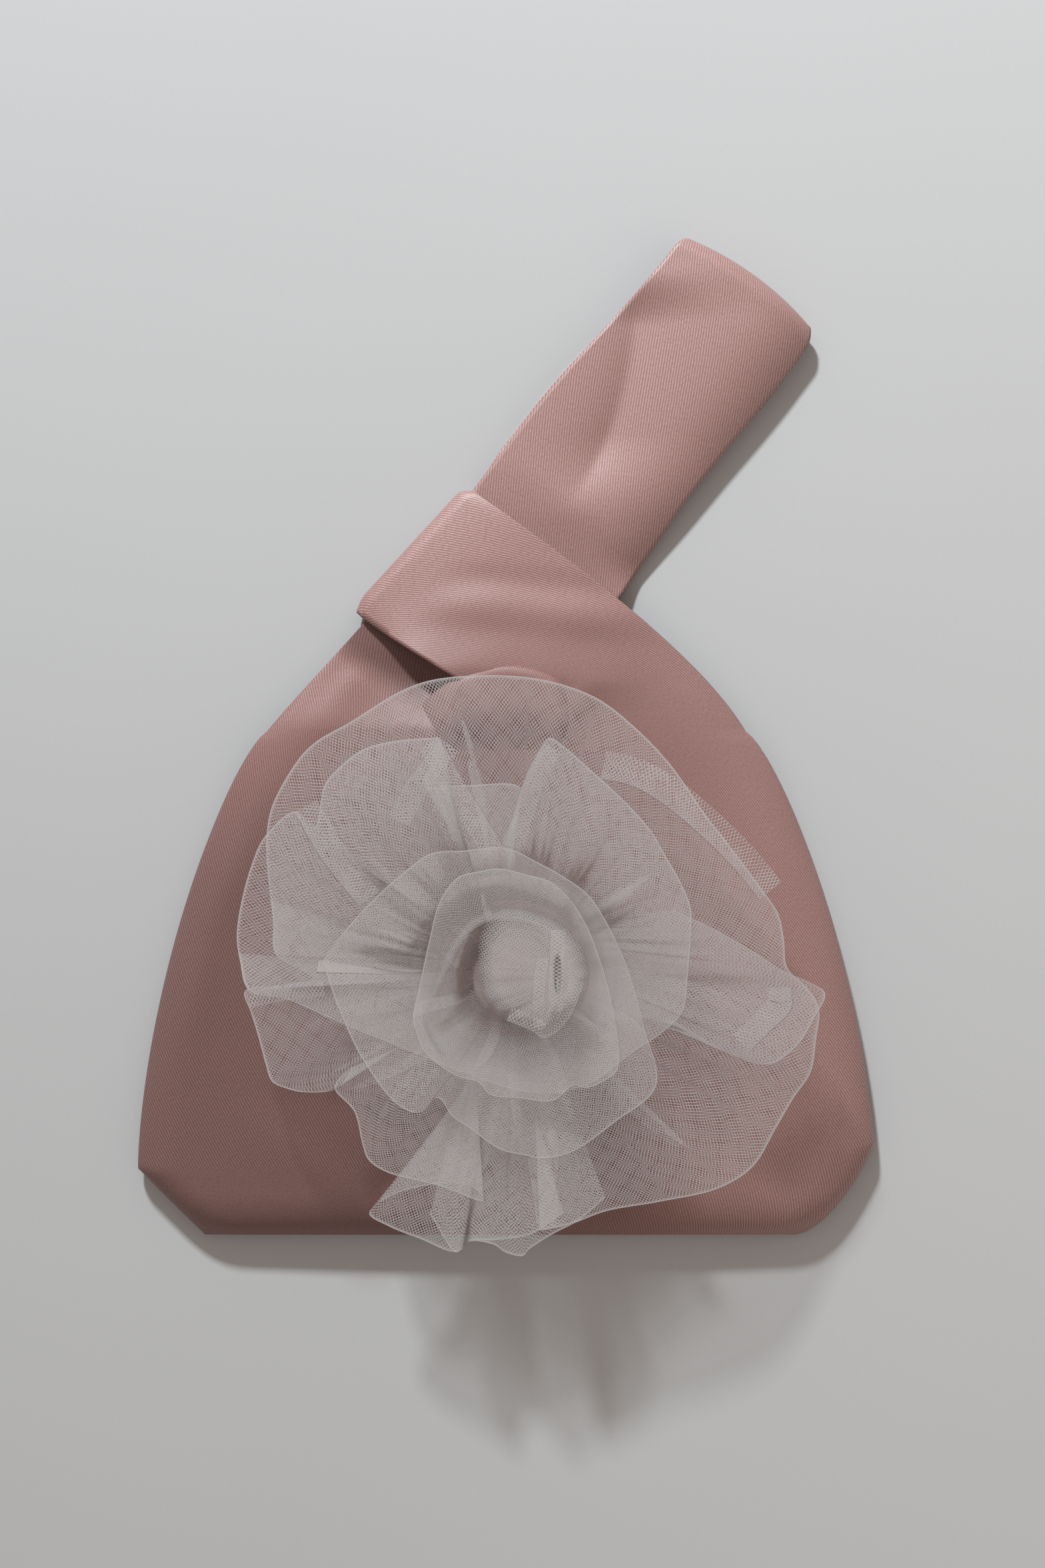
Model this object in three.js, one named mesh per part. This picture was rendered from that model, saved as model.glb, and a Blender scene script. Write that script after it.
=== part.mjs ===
// A knot bag lying on its back: two satin panels and two linings, each cut in one with its half
// straps. The long loop of the left shoulder runs through the short loop of the right shoulder,
// and a gathered tulle flower is sewn to the front.
// Millimetres. X runs across the bag, Y from its base to its loops, Z up from the table.
import * as THREE from "three";
import { mergeVertices } from "three/addons/utils/BufferGeometryUtils.js";

// Cloth: the satin is measured with its bonded interfacing, the lining by itself.
const satin = 0.7;
const liningCloth = 0.5;
const clothGap = 0.3;

// The bag's body, measured flat on the table. The shoulder line runs through the crotch, the
// lowest point of the neckline, and the side seams end below it, where the mouth begins.
const baseWidth = 264;
const shoulderWidth = 171;
const shoulderHeight = 180;
const boxedCorner = 24;
const sideSeamTop = 138;
const crotchWidth = 12;
const bodyThickness = 16;
const mouthThickness = 13.5;
const mouthGape = 5.2;
const seamHeight = 4.5;
const edgeRounding = 16;
const crown = 2.5;
const frontGapeShare = 0.6;

// The side seams' line: how long it stays steep above the base, and how round its shoulder is.
const sideSteepness = 1.6;
const sideRoundness = 0.77;

// The knot: the two straps cross at right angles, the long strap inside the short loop.
const knotX = -3.5;
const knotY = 222.6;
const longLoopAngle = THREE.MathUtils.degToRad(54);
const longStrapWidth = 65;
const shortStrapWidth = 60;
const foldReach = 39.5;
const foldSlant = 7;
const leafGap = 1.0;
const longStrapInside = 1.4;

// How far each strap's edges keep the direction in which they leave the shoulder line, as steps
// inwards and upwards, and the way that they already run straight when they reach the knot.
const longOuterFlare = [12, 15];
const longInnerFlare = [9, 10];
const longRunIn = 13;
const shortOuterFlare = [16, 27];
const shortInnerFlare = [6, 10];
const shortUpperRunIn = 50;
const shortLowerRunIn = 28;

// The long loop, from the short loop's edge to its own fold.
const longLoopLength = 117;
const longLoopEndWidth = 59;
const longLoopEndThickness = 13.6;
const hingeSetBack = 1.2;
const hingeGap = 0.4;
const endBow = 3.2;
const endDrift = 4.6;
const backTouchdown = [4, 30];
const frontRise = 8;

// The flower, seen from above with its centre on the front panel.
const flowerX = 2.5;
const flowerY = 93.5;
const flowerRadius = 100;
const backingRadius = 36;
const backingCloth = 1.2;
const rootMargin = 3;
const tulle = 1.0;
const tierStep = 5;
const rimLean = 1.8;
const budX = 3;
const budY = 2;
const budHeight = 49;
const budRadius = 18;
const budTurns = 1.75;

const lining = { outer: satin + clothGap, inner: satin + clothGap + liningCloth };
const leaf = lining.inner;
const longBackLevel = leaf + leafGap;
const longFrontLevel = longBackLevel + 2 * leaf + longStrapInside;
const shortFrontLevel = longFrontLevel + leafGap + leaf;
const foldRadius = shortFrontLevel / 2;
const crotch = crotchWidth / 2;

const mix = THREE.MathUtils.lerp;
const ease = THREE.MathUtils.smoothstep;
const at = (x, y, z = 0) => new THREE.Vector3(x, y, z);
const range = (n) => Array.from({ length: n + 1 }, (_, i) => i / n);

// Directions in plan: along is the long loop's, across is the short loop's.
const along = at(Math.cos(longLoopAngle), Math.sin(longLoopAngle));
const across = at(-along.y, along.x);
const inKnot = (e, d, z = 0) =>
  at(knotX, knotY, z).addScaledVector(across, e).addScaledVector(along, d);

// Half the body's width at a height. Above the boxed corners the side is a flattened ellipse.
function halfWidth(y) {
  const base = baseWidth / 2;
  if (y < boxedCorner) return base - boxedCorner + y;
  const t = Math.min((y - boxedCorner) / (shoulderHeight - boxedCorner), 1);
  return mix(shoulderWidth / 2, base, Math.pow(1 - Math.pow(t, sideSteepness), sideRoundness));
}

// How far the body has risen to its full thickness at a distance inside an edge: a quarter ellipse.
function rounding(distance, inset) {
  const s = Math.min(Math.max(distance / (edgeRounding - inset), 0), 1);
  return Math.sqrt(1 - (1 - s) * (1 - s));
}

// Distances inside an edge that give the quarter ellipse even steps.
const edgeSteps = range(4).map((t) => 1 - Math.cos((t * Math.PI) / 2));
const innerSteps = range(4).slice(1);

// Height of a panel's face. side is 1 for the front and -1 for the back, and inset is how deep the
// face lies in the cloth, counted from the panel's outside.
function bodyHeight(side, x, y, inset) {
  const open = ease(y, sideSeamTop, shoulderHeight);
  const seam = seamHeight + (side * clothGap) / 2;
  const freeEdge = side > 0 ? seam + open * mouthGape * frontGapeShare : mix(seam, leaf, open);
  const w = halfWidth(y);
  const full = mix(bodyThickness, mouthThickness, ease(y, shoulderHeight / 2, shoulderHeight));
  const top = full - (crown * x * x) / (w * w);
  const depth = side > 0 ? top - freeEdge : freeEdge;
  const rise = rounding(insideWidth(y, inset) - Math.abs(x), inset) * rounding(y - inset, inset);
  return freeEdge + side * (depth - inset) * rise;
}

// The top of the front panel, for what is sewn to it.
const frontTop = (x, y) => bodyHeight(1, x, y, 0);

// Columns across one half of a panel: fixed distances at the outer edge, then even steps.
function column(outer, inner, step, inset) {
  const width = outer.distanceTo(inner);
  const rim = (edgeRounding - inset) / width;
  const share = step < edgeSteps.length ? edgeSteps[step] * rim : 0;
  const rest = step - edgeSteps.length;
  const t = rest < 0 ? share : mix(rim, 1, innerSteps[rest]);
  return outer.clone().lerp(inner, t);
}
const columnCount = edgeSteps.length + innerSteps.length;

// Rows up the body: even steps of the rounding at the base, the corner's top, then even steps.
const bodyRows = [
  ...edgeSteps.map((s) => s * edgeRounding),
  boxedCorner,
  ...range(6).slice(1).map((t) => mix(boxedCorner, shoulderHeight, t)),
];

// An inner face keeps its depth along the slanted boxed corners too, where it steps in further.
const cornerStep = 2;
function insideWidth(y, inset) {
  const slant = 1 - ease(y, boxedCorner, boxedCorner + edgeRounding);
  return halfWidth(y) - inset * mix(1, cornerStep, slant);
}

function bodyPoint(side, hand, row, step, inset) {
  const y = mix(inset, shoulderHeight, bodyRows[row] / shoulderHeight);
  const outer = at(hand * insideWidth(y, inset), y);
  const p = column(outer, at(hand * crotch, y), step, inset);
  p.z = bodyHeight(side, p.x, y, inset);
  return p;
}

// Edges of the two straps in plan, from the shoulder line to the far side of the knot.
const bezier = (...p) => new THREE.CubicBezierCurve3(...p);
const shoulder = shoulderWidth / 2;
const halfLong = longStrapWidth / 2;
const halfShort = shortStrapWidth / 2;
const hingeLine = halfShort + hingeSetBack;
const strapEnd = hingeLine - hingeGap / 2;
const flare = (x, [inwards, up]) => at(x + inwards, shoulderHeight + up);
const longOuter = bezier(
  at(-shoulder, shoulderHeight),
  flare(-shoulder, longOuterFlare),
  inKnot(halfLong, -longRunIn),
  inKnot(halfLong, strapEnd),
);
const longInner = bezier(
  at(-crotch, shoulderHeight),
  flare(-crotch, longInnerFlare),
  inKnot(-halfLong, 0),
  inKnot(-halfLong, strapEnd),
);
const foldUpper = inKnot(foldReach - foldSlant / 2 - foldRadius, halfShort);
const foldLower = inKnot(foldReach + foldSlant / 2 - foldRadius, -halfShort);
const leftwards = ([inwards, up]) => [-inwards, up];
const shortOuter = bezier(
  at(shoulder, shoulderHeight),
  flare(shoulder, leftwards(shortOuterFlare)),
  inKnot(foldReach - foldRadius - shortUpperRunIn, halfShort),
  foldUpper,
);
const shortInner = bezier(
  at(crotch, shoulderHeight),
  flare(crotch, leftwards(shortInnerFlare)),
  foldLower.clone().addScaledVector(across, -shortLowerRunIn),
  foldLower,
);

// The short loop turns back under the long strap round a line between its two fold corners.
const foldOut = foldUpper.clone().sub(foldLower).normalize();
foldOut.set(-foldOut.y, foldOut.x, 0);

// Each half strap leaves the body's shoulder row and settles on its level in the knot. settle
// gives the share of the way where it starts and ends, at its outer and at its inner edge.
const straps = {
  longFront: { side: 1, hand: -1, level: longFrontLevel, settle: [0, 0.6, 0, 0.26], lift: 0 },
  longBack: { side: -1, hand: -1, level: longBackLevel, settle: [0, 0.5, 0, 0.12], lift: 0 },
  shortFront: { side: 1, hand: 1, level: shortFrontLevel, settle: [0.1, 0.8, 0.3, 0.95], lift: 1.6 },
  shortBack: { side: -1, hand: 1, level: 0, settle: [0, 0.4, 0, 0.3], lift: 0 },
};

function strapPoint(strap, along01, step, inset) {
  const { side, hand, level, settle, lift } = strap;
  const long = hand < 0;
  const from = long ? longOuter : shortOuter;
  const to = long ? longInner : shortInner;
  const outer = from.getPoint(along01);
  const inner = to.getPoint(along01);
  const inwards = inner.clone().sub(outer).normalize();
  outer.addScaledVector(inwards, inset);
  const p = column(outer, inner, step, inset);
  const c = p.distanceTo(outer) / inner.distanceTo(outer);
  const base = bodyPoint(side, hand, bodyRows.length - 1, step, inset).z;
  const start = mix(settle[0], settle[2], c);
  const end = mix(settle[1], settle[3], c);
  const down = ease(along01, start, end);
  const bulge = lift * c * ease(along01, 0, 0.12) * (1 - ease(along01, 0.5, 0.9));
  p.z = mix(base, level - side * inset, down) + bulge;
  return p;
}

// Points round the fold of the short loop: the front panel has its upper quarter turn, the back
// panel its lower one, and their seam is between them.
function foldPoint(side, turn, step, inset) {
  const outer = foldUpper.clone();
  outer.addScaledVector(foldLower.clone().sub(foldUpper).normalize(), inset);
  const p = column(outer, foldLower, step, inset);
  const seam = clothGap / 2 / foldRadius;
  const angle = mix(Math.PI / 2, seam, turn);
  const radius = foldRadius - inset;
  p.addScaledVector(foldOut, radius * Math.cos(angle));
  p.z = foldRadius + side * radius * Math.sin(angle);
  return p;
}

// A closed solid between two faces that share one grid of patches. A patch is rows of columns, and
// point(inset) gives its place in a face. Faces run from inset outer to inset inner.
function clothSolid(patches, outer, inner, flip) {
  const triangles = [];
  const corner = [];
  const keys = new Map();
  const idOf = (a, b) => {
    const key = a.toArray().map((v) => v.toFixed(4)).join();
    if (!keys.has(key)) {
      keys.set(key, corner.length);
      corner.push([a, b]);
    }
    return keys.get(key);
  };
  for (const { rows, columns, point } of patches) {
    const ids = range(rows).map((_, r) =>
      range(columns).map((_, c) => idOf(point(r, c, outer), point(r, c, inner))),
    );
    for (let r = 0; r < rows; r++)
      for (let c = 0; c < columns; c++) {
        const quad = [ids[r][c], ids[r][c + 1], ids[r + 1][c + 1], ids[r + 1][c]];
        triangles.push([quad[0], quad[1], quad[2]], [quad[0], quad[2], quad[3]]);
      }
  }
  const whole = triangles.filter(([a, b, c]) => a !== b && b !== c && c !== a);
  return solidBetween(corner, flip ? whole.map(([a, b, c]) => [a, c, b]) : whole);
}

// Joins an upper and a lower face, given as pairs of corners, with walls along their open edges.
function solidBetween(corner, faces) {
  const positions = [];
  const put = (i, face) => positions.push(...corner[i][face].toArray());
  const open = new Map();
  for (const [a, b, c] of faces) {
    for (const i of [a, b, c]) put(i, 0);
    for (const i of [a, c, b]) put(i, 1);
    for (const [i, j] of [[a, b], [b, c], [c, a]])
      if (!open.delete(`${j},${i}`)) open.set(`${i},${j}`, [i, j]);
  }
  for (const [i, j] of open.values()) {
    put(j, 0), put(i, 0), put(i, 1);
    put(j, 0), put(i, 1), put(j, 1);
  }
  const geometry = new THREE.BufferGeometry();
  geometry.setAttribute("position", new THREE.Float32BufferAttribute(positions, 3));
  const solid = mergeVertices(geometry, 1e-4);
  solid.computeVertexNormals();
  return solid;
}

// The body, the neckline's crotch and both half straps of one panel, in one piece.
function panel(side, outer, inner) {
  const patches = [];
  const rows = bodyRows.length - 1;
  for (const hand of [-1, 1])
    patches.push({
      rows,
      columns: columnCount - 1,
      point: (r, c, inset) =>
        bodyPoint(side, hand, r, hand < 0 ? c : columnCount - 1 - c, inset),
    });
  patches.push({
    rows,
    columns: 2,
    point: (r, c, inset) => {
      const p = bodyPoint(side, 1, r, columnCount - 1, inset);
      p.x = (c - 1) * crotch;
      p.z = bodyHeight(side, p.x, p.y, inset);
      return p;
    },
  });
  const longStrap = side > 0 ? straps.longFront : straps.longBack;
  const shortStrap = side > 0 ? straps.shortFront : straps.shortBack;
  const strapRows = 9;
  patches.push({
    rows: strapRows,
    columns: columnCount - 1,
    point: (r, c, inset) => strapPoint(longStrap, r / strapRows, c, inset),
  });
  patches.push({
    rows: strapRows,
    columns: columnCount - 1,
    point: (r, c, inset) => strapPoint(shortStrap, r / strapRows, columnCount - 1 - c, inset),
  });
  const turns = 4;
  patches.push({
    rows: turns,
    columns: columnCount - 1,
    point: (r, c, inset) => foldPoint(side, r / turns, columnCount - 1 - c, inset),
  });
  return clothSolid(patches, outer, inner, side < 0);
}

// The long loop beyond the short loop's edge. The front half rises to the fold, and the back half
// comes down to the table. They meet in a seam at the fold.
const loopEndRadius = longLoopEndThickness / 2;
const loopStraight = longLoopLength - loopEndRadius;
const flatRows = 12;
const turnRows = 3;

function loopHeight(side, d) {
  if (side < 0) return longBackLevel * (1 - ease(d, ...backTouchdown));
  const level = loopStraight - loopEndRadius;
  return mix(longFrontLevel, longLoopEndThickness, ease(d, frontRise, level));
}

// Rows run along the strap and then round the fold, and u is 0 at the left edge and 1 at the right.
// Towards its end the loop narrows, bows out in the middle and drifts to the right.
function loopPoint(side, row, u, inset) {
  const share = Math.min(row / flatRows, 1);
  const turn = Math.max(row - flatRows, 0) / turnRows;
  const angle = mix(Math.PI / 2, clothGap / 2 / loopEndRadius, turn);
  const radius = loopEndRadius - inset;
  const bow = endBow * (1 - (2 * u - 1) ** 2) * ease(share, 0.6, 1);
  const drift = endDrift * ease(share, 0.3, 1);
  const width = mix(longStrapWidth, longLoopEndWidth, share);
  const straight = mix(hingeLine + hingeGap / 2, hingeLine + loopStraight, share);
  const reach = turn > 0 ? radius * Math.cos(angle) : 0;
  const p = inKnot(mix(width / 2, -width / 2, u) - drift, straight + bow + reach);
  p.z = turn > 0
    ? loopEndRadius + side * radius * Math.sin(angle)
    : loopHeight(side, share * loopStraight) - side * inset;
  return p;
}

function loopHalf(side, outer, inner) {
  const rows = flatRows + turnRows;
  const columns = 6;
  const point = (r, c, inset) => loopPoint(side, r, c / columns, inset);
  return clothSolid([{ rows, columns, point }], outer, inner, side < 0);
}

// The flower's tiers. A rim is a list of [bearing in degrees, radius, height above the backing],
// the lengths in hundredths of the flower's radius, and a smooth curve runs through it.
const rims = {
  outer: [
    [163, 96, 15], [150, 99, 14], [133, 107, 13], [111, 107.5, 12], [90, 104.5, 12],
    [74, 104, 12], [61, 96.5, 13], [44, 88.6, 14], [30, 90, 15], [12, 95, 17], [2, 95, 18],
    [-6, 104, 19], [-20, 106.4, 20], [-38, 104, 22], [-56, 90, 25], [-70, 85, 26],
    [-86, 84, 26], [-102, 86, 26], [-112, 92.8, 25], [-121, 94, 23], [-126, 79, 24],
    [-138, 72.3, 22], [-148, 71.5, 21], [-155, 86, 20], [-167, 90.6, 16], [-180, 93, 16],
  ],
  second: [
    [160, 98, 23], [150, 98.9, 23], [135, 93.8, 26], [119, 92.4, 28], [108, 87, 30],
    [99, 52, 27], [91, 50, 27], [82, 84.2, 31], [70, 77, 30], [56, 72, 30], [38, 67, 30],
    [20, 64, 30], [0, 60, 29], [-20, 52, 26], [-42, 43, 21], [-70, 42, 20], [-100, 42, 20],
    [-130, 46, 22], [-150, 60, 24], [-165, 80, 24], [-178, 92, 24], [170, 96.2, 23],
  ],
  third: [
    [175, 64.5, 33], [155, 57, 36], [133, 52, 39], [110, 48.5, 40], [86, 44, 40],
    [62, 40.2, 40], [32, 38, 39], [5, 43, 38], [-20, 52, 36], [-36, 59.7, 34], [-54, 58, 35],
    [-78, 59.5, 37], [-98, 53, 36], [-113, 47, 34], [-123, 56.4, 33], [-145, 55, 32],
    [-166, 57, 32],
  ],
  inner: [
    [180, 31, 43], [162, 27.4, 44], [130, 29, 46], [100, 27.6, 49], [70, 26.2, 50],
    [42, 27.5, 49], [18, 25.8, 48], [0, 26, 46], [-18, 33, 42], [-40, 43.6, 39],
    [-60, 42, 41], [-90, 37.5, 42], [-122, 36, 41], [-145, 37.5, 41], [-165, 34, 42],
  ],
  pleat: [[5, 92, 27], [-2, 106, 28], [-6, 104, 28], [-15, 97, 28], [-20, 86, 26]],
  fan: [[-78, 84, 30], [-86, 90, 31], [-91, 92, 31], [-96, 88, 30], [-102, 93, 31], [-107, 90, 29]],
};

const backingTop = (x, y) => frontTop(x, y) + clothGap + backingCloth;

// A gathered strip: from its root on the backing each rib climbs steeply, then leans out to the
// rim. Rims of higher tiers have their roots further in, so the tiers stand one inside another.
function ruffle(rim, tier, closed, segments) {
  const ribs = rim.map(([bearing, r, h]) => {
    const a = THREE.MathUtils.degToRad(bearing);
    return at(r * Math.cos(a), r * Math.sin(a), h).multiplyScalar(flowerRadius / 100);
  });
  const curve = new THREE.CatmullRomCurve3(ribs, closed, "centripetal");
  const root = backingRadius - rootMargin - tierStep * tier;
  const rows = 5;
  const point = (r, c, inset) => {
    const edge = curve.getPoint((closed ? c % segments : c) / segments);
    const v = r / rows;
    const bearing = Math.atan2(edge.y, edge.x);
    const radius = mix(root, Math.hypot(edge.x, edge.y), v);
    const x = flowerX + radius * Math.cos(bearing);
    const y = flowerY + radius * Math.sin(bearing);
    const seat = backingTop(flowerX, flowerY) + clothGap + tulle;
    return at(x, y, seat + edge.z * (1 - Math.pow(1 - v, rimLean)) - inset);
  };
  return clothSolid([{ rows, columns: segments, point }], 0, tulle, false);
}

// The bud: one strip rolled up, its wall drawn in at the foot and closing over at the top. The
// roll starts tight and low in the middle and ends at the bud's full radius and height.
const budCore = { radius: 0.3, height: 0.9 };
const budFoot = 0.4;
const budSwell = 1.9;

function bud() {
  const steps = 38;
  const rows = 5;
  const seat = backingTop(flowerX, flowerY) + clothGap;
  const point = (r, c, inset) => {
    const t = c / steps;
    const v = r / rows;
    const angle = t * budTurns * 2 * Math.PI;
    const roll = mix(budCore.radius, 1, t) * budRadius;
    const radius = roll * mix(budFoot, 1, Math.sin(v * budSwell)) - inset;
    const height = budHeight * v * mix(budCore.height, 1, t);
    const x = flowerX + budX + radius * Math.cos(angle);
    const y = flowerY + budY + radius * Math.sin(angle);
    return at(x, y, seat + height);
  };
  return clothSolid([{ rows, columns: steps, point }], 0, tulle, false);
}

// The round of felt that carries the flower, following the front panel.
function backing() {
  const rows = 3;
  const segments = 24;
  const point = (r, c, inset) => {
    const a = ((c % segments) / segments) * 2 * Math.PI;
    const x = flowerX + (backingRadius * r * Math.cos(a)) / rows;
    const y = flowerY + (backingRadius * r * Math.sin(a)) / rows;
    return at(x, y, backingTop(x, y) - inset);
  };
  return clothSolid([{ rows, columns: segments, point }], 0, backingCloth, true);
}

const satinOutside = new THREE.MeshStandardMaterial({
  color: 0x9b7772, roughness: 0.42, metalness: 0, name: "satin",
});
const satinLining = new THREE.MeshStandardMaterial({
  color: 0x94706c, roughness: 0.5, metalness: 0, name: "lining",
});
const net = new THREE.MeshStandardMaterial({
  color: 0xc8c4c2, roughness: 0.6, metalness: 0, name: "tulle",
});
const felt = new THREE.MeshStandardMaterial({
  color: 0xb9b2ae, roughness: 0.9, metalness: 0, name: "felt",
});

const bag = new THREE.Group();
const longLoop = new THREE.Group();
const flower = new THREE.Group();
const bodyGroup = new THREE.Group();
bodyGroup.add(longLoop, flower);
bag.add(bodyGroup);

function piece(parent, name, geometry, material) {
  const mesh = new THREE.Mesh(geometry, material.clone());
  mesh.name = name;
  parent.add(mesh);
}

piece(bodyGroup, "front_panel", panel(1, 0, satin), satinOutside);
piece(bodyGroup, "back_panel", panel(-1, 0, satin), satinOutside);
piece(bodyGroup, "front_lining", panel(1, lining.outer, lining.inner), satinLining);
piece(bodyGroup, "back_lining", panel(-1, lining.outer, lining.inner), satinLining);
piece(longLoop, "long_loop_front", loopHalf(1, 0, satin), satinOutside);
piece(longLoop, "long_loop_back", loopHalf(-1, 0, satin), satinOutside);
piece(longLoop, "long_loop_front_lining", loopHalf(1, lining.outer, lining.inner), satinLining);
piece(longLoop, "long_loop_back_lining", loopHalf(-1, lining.outer, lining.inner), satinLining);
piece(flower, "flower_backing", backing(), felt);
piece(flower, "tulle_outer_ruffle", ruffle(rims.outer, 0, true, 56), net);
piece(flower, "tulle_right_pleat", ruffle(rims.pleat, 0.6, false, 8), net);
piece(flower, "tulle_bottom_fan", ruffle(rims.fan, 0.6, false, 10), net);
piece(flower, "tulle_second_ruffle", ruffle(rims.second, 1.2, true, 54), net);
piece(flower, "tulle_third_ruffle", ruffle(rims.third, 2.4, true, 44), net);
piece(flower, "tulle_inner_ruffle", ruffle(rims.inner, 3.8, true, 36), net);
piece(flower, "tulle_bud", bud(), net);

// The bag's own frame: the middle of its plan, on the table.
const box = new THREE.Box3().setFromObject(bag);
bodyGroup.position.set(-(box.min.x + box.max.x) / 2, -(box.min.y + box.max.y) / 2, -box.min.z);

export default bag;
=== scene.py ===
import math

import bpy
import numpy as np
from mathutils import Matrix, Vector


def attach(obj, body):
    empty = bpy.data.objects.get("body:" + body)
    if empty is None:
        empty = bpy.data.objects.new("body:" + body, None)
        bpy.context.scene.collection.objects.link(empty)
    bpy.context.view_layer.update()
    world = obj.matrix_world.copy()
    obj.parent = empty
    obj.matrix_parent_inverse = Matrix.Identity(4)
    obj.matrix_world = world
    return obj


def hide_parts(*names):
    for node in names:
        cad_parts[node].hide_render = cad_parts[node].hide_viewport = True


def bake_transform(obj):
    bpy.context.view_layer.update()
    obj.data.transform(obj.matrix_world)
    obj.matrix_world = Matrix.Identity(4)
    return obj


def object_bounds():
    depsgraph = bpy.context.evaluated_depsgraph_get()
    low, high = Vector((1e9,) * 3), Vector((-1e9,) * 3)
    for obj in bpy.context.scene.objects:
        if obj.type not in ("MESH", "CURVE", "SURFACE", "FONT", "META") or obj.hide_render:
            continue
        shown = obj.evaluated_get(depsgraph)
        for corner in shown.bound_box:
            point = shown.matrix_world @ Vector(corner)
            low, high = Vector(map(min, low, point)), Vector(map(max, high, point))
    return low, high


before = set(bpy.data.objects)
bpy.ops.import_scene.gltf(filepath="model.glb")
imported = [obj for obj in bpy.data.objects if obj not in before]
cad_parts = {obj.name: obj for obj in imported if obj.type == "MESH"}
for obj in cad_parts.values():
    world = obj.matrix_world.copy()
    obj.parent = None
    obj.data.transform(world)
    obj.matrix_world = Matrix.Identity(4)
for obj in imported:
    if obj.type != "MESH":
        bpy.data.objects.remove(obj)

# %% [markdown]
# # A satin knot bag with a flower of tulle
#
# The bag lies on its back. Two satin panels and two linings are each cut in one with half of both
# straps. The long loop runs through the short loop. Four gathered tiers of tulle, two stray pleats
# and a rolled bud are sewn to the front.
#
# Every piece below is a surface: a formula of two parameters, worked out for a whole grid of points
# at once. All lengths are written in millimetres, with x across the bag, y up from its base and z
# up from the table, and they become metres only when a mesh is made.

cad_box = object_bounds()
MM = 0.001
BASE_LINE = cad_box[0][1]


def mix(a, b, t):
    """The value a share t of the way from a to b."""
    return a + (b - a) * t


def ease(x, start, end):
    """0 before start, 1 after end, and between them three squares less two cubes of the share."""
    t = np.clip((x - start) / (end - start), 0, 1)
    return t * t * (3 - 2 * t)


def stack(*axes):
    """One array of points from an array for each coordinate."""
    return np.stack(np.broadcast_arrays(*axes), axis=-1).astype(float)


def xy(points):
    """The two coordinates of points in plan."""
    return points[..., 0], points[..., 1]


def lifted(plan, z):
    """Points in plan, raised to their heights."""
    return stack(*xy(plan), z)


def unit(v):
    """Directions of length one."""
    return v / np.linalg.norm(v, axis=-1, keepdims=True)


def run_along(points, power=1.0):
    """How far along a line each of its points lies, with each step raised to a power."""
    steps = np.linalg.norm(np.diff(points, axis=0), axis=1) ** power
    return np.concatenate([[0], np.cumsum(steps)])


print("model box in mm", [[round(c / MM, 1) for c in corner] for corner in cad_box])

# %% [markdown]
# ## From a grid of points to a mesh
#
# A sheet of cloth is a grid: rows along it, columns across it. Several grids that share an edge,
# such as a panel and its two straps, are laid next to each other and their equal points are merged.
# Each point also has a place on the flat cloth, kept as a UV map, so that the weave follows the
# piece round its bends instead of being cut out of a solid block of pattern.

# %% Making pieces
# One unit of the UV map is so much cloth, and points that share a cell of the weld are one point.
FLAT_UNIT, WELD = 100.0, 0.002
pieces = {}


def grid_faces(rows, columns, first=0):
    """Quads between neighbouring points of a grid, as indices that start at first."""
    at = first + np.arange(rows * columns).reshape(rows, columns)
    quads = [at[:-1, :-1], at[:-1, 1:], at[1:, 1:], at[1:, :-1]]
    return np.stack(quads, axis=-1).reshape(-1, 4)


def make_piece(name, patches, flip=False, marks=()):
    """A mesh from patches, each a dict with its points, the flat place of each point, and marks.
    Where a grid closes to a pole, its quads become triangles."""
    points = np.vstack([p["points"].reshape(-1, 3) for p in patches])
    flat = np.vstack([p["flat"].reshape(-1, 2) for p in patches])
    faces = []
    first = 0
    for p in patches:
        rows, columns = p["points"].shape[:2]
        faces.append(grid_faces(rows, columns, first))
        first += rows * columns
    faces = np.vstack(faces)
    if flip:
        faces = faces[:, ::-1]
    step = np.round(points / WELD).astype(np.int64)
    _, index, back = np.unique(step, axis=0, return_index=True, return_inverse=True)
    back = back.reshape(-1)
    welded = back[faces]
    twin = [welded[:, k] == welded[:, (k + 1) % 4] for k in range(4)]
    kinds = [~np.any(twin, axis=0)] + [t & (np.sum(twin, axis=0) == 1) for t in twin]
    parts = [np.arange(4)] + [np.delete(np.arange(4), k) for k in range(4)]
    corners = np.concatenate([faces[kind][:, part].ravel() for kind, part in zip(kinds, parts)])
    polygons = [f for kind, part in zip(kinds, parts) for f in welded[kind][:, part].tolist()]
    mesh = bpy.data.meshes.new(name)
    where = points[index] * MM
    where[:, 1] += BASE_LINE
    mesh.from_pydata(where.tolist(), [], polygons)
    layer = mesh.uv_layers.new(name="cloth")
    layer.data.foreach_set("uv", (flat[corners] / FLAT_UNIT).astype(np.float32).ravel())
    for mark in marks:
        values = np.concatenate([p[mark].reshape(-1) for p in patches])[index]
        mesh.attributes.new(mark, "FLOAT", "POINT").data.foreach_set(
            "value", values.astype(np.float32)
        )
    mesh.polygons.foreach_set("use_smooth", np.ones(len(mesh.polygons), bool))
    mesh.update()
    piece = bpy.data.objects.new(name, mesh)
    bpy.context.scene.collection.objects.link(piece)
    pieces[name] = piece
    print(name, "has", len(mesh.polygons), "faces")
    return piece


def thicken(piece, millimetres):
    """Gives a sheet its real thickness, inwards from the face that was worked out."""
    cloth = piece.modifiers.new("cloth thickness", "SOLIDIFY")
    cloth.thickness = millimetres * MM
    cloth.offset = -1
    cloth.use_even_offset = False


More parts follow.
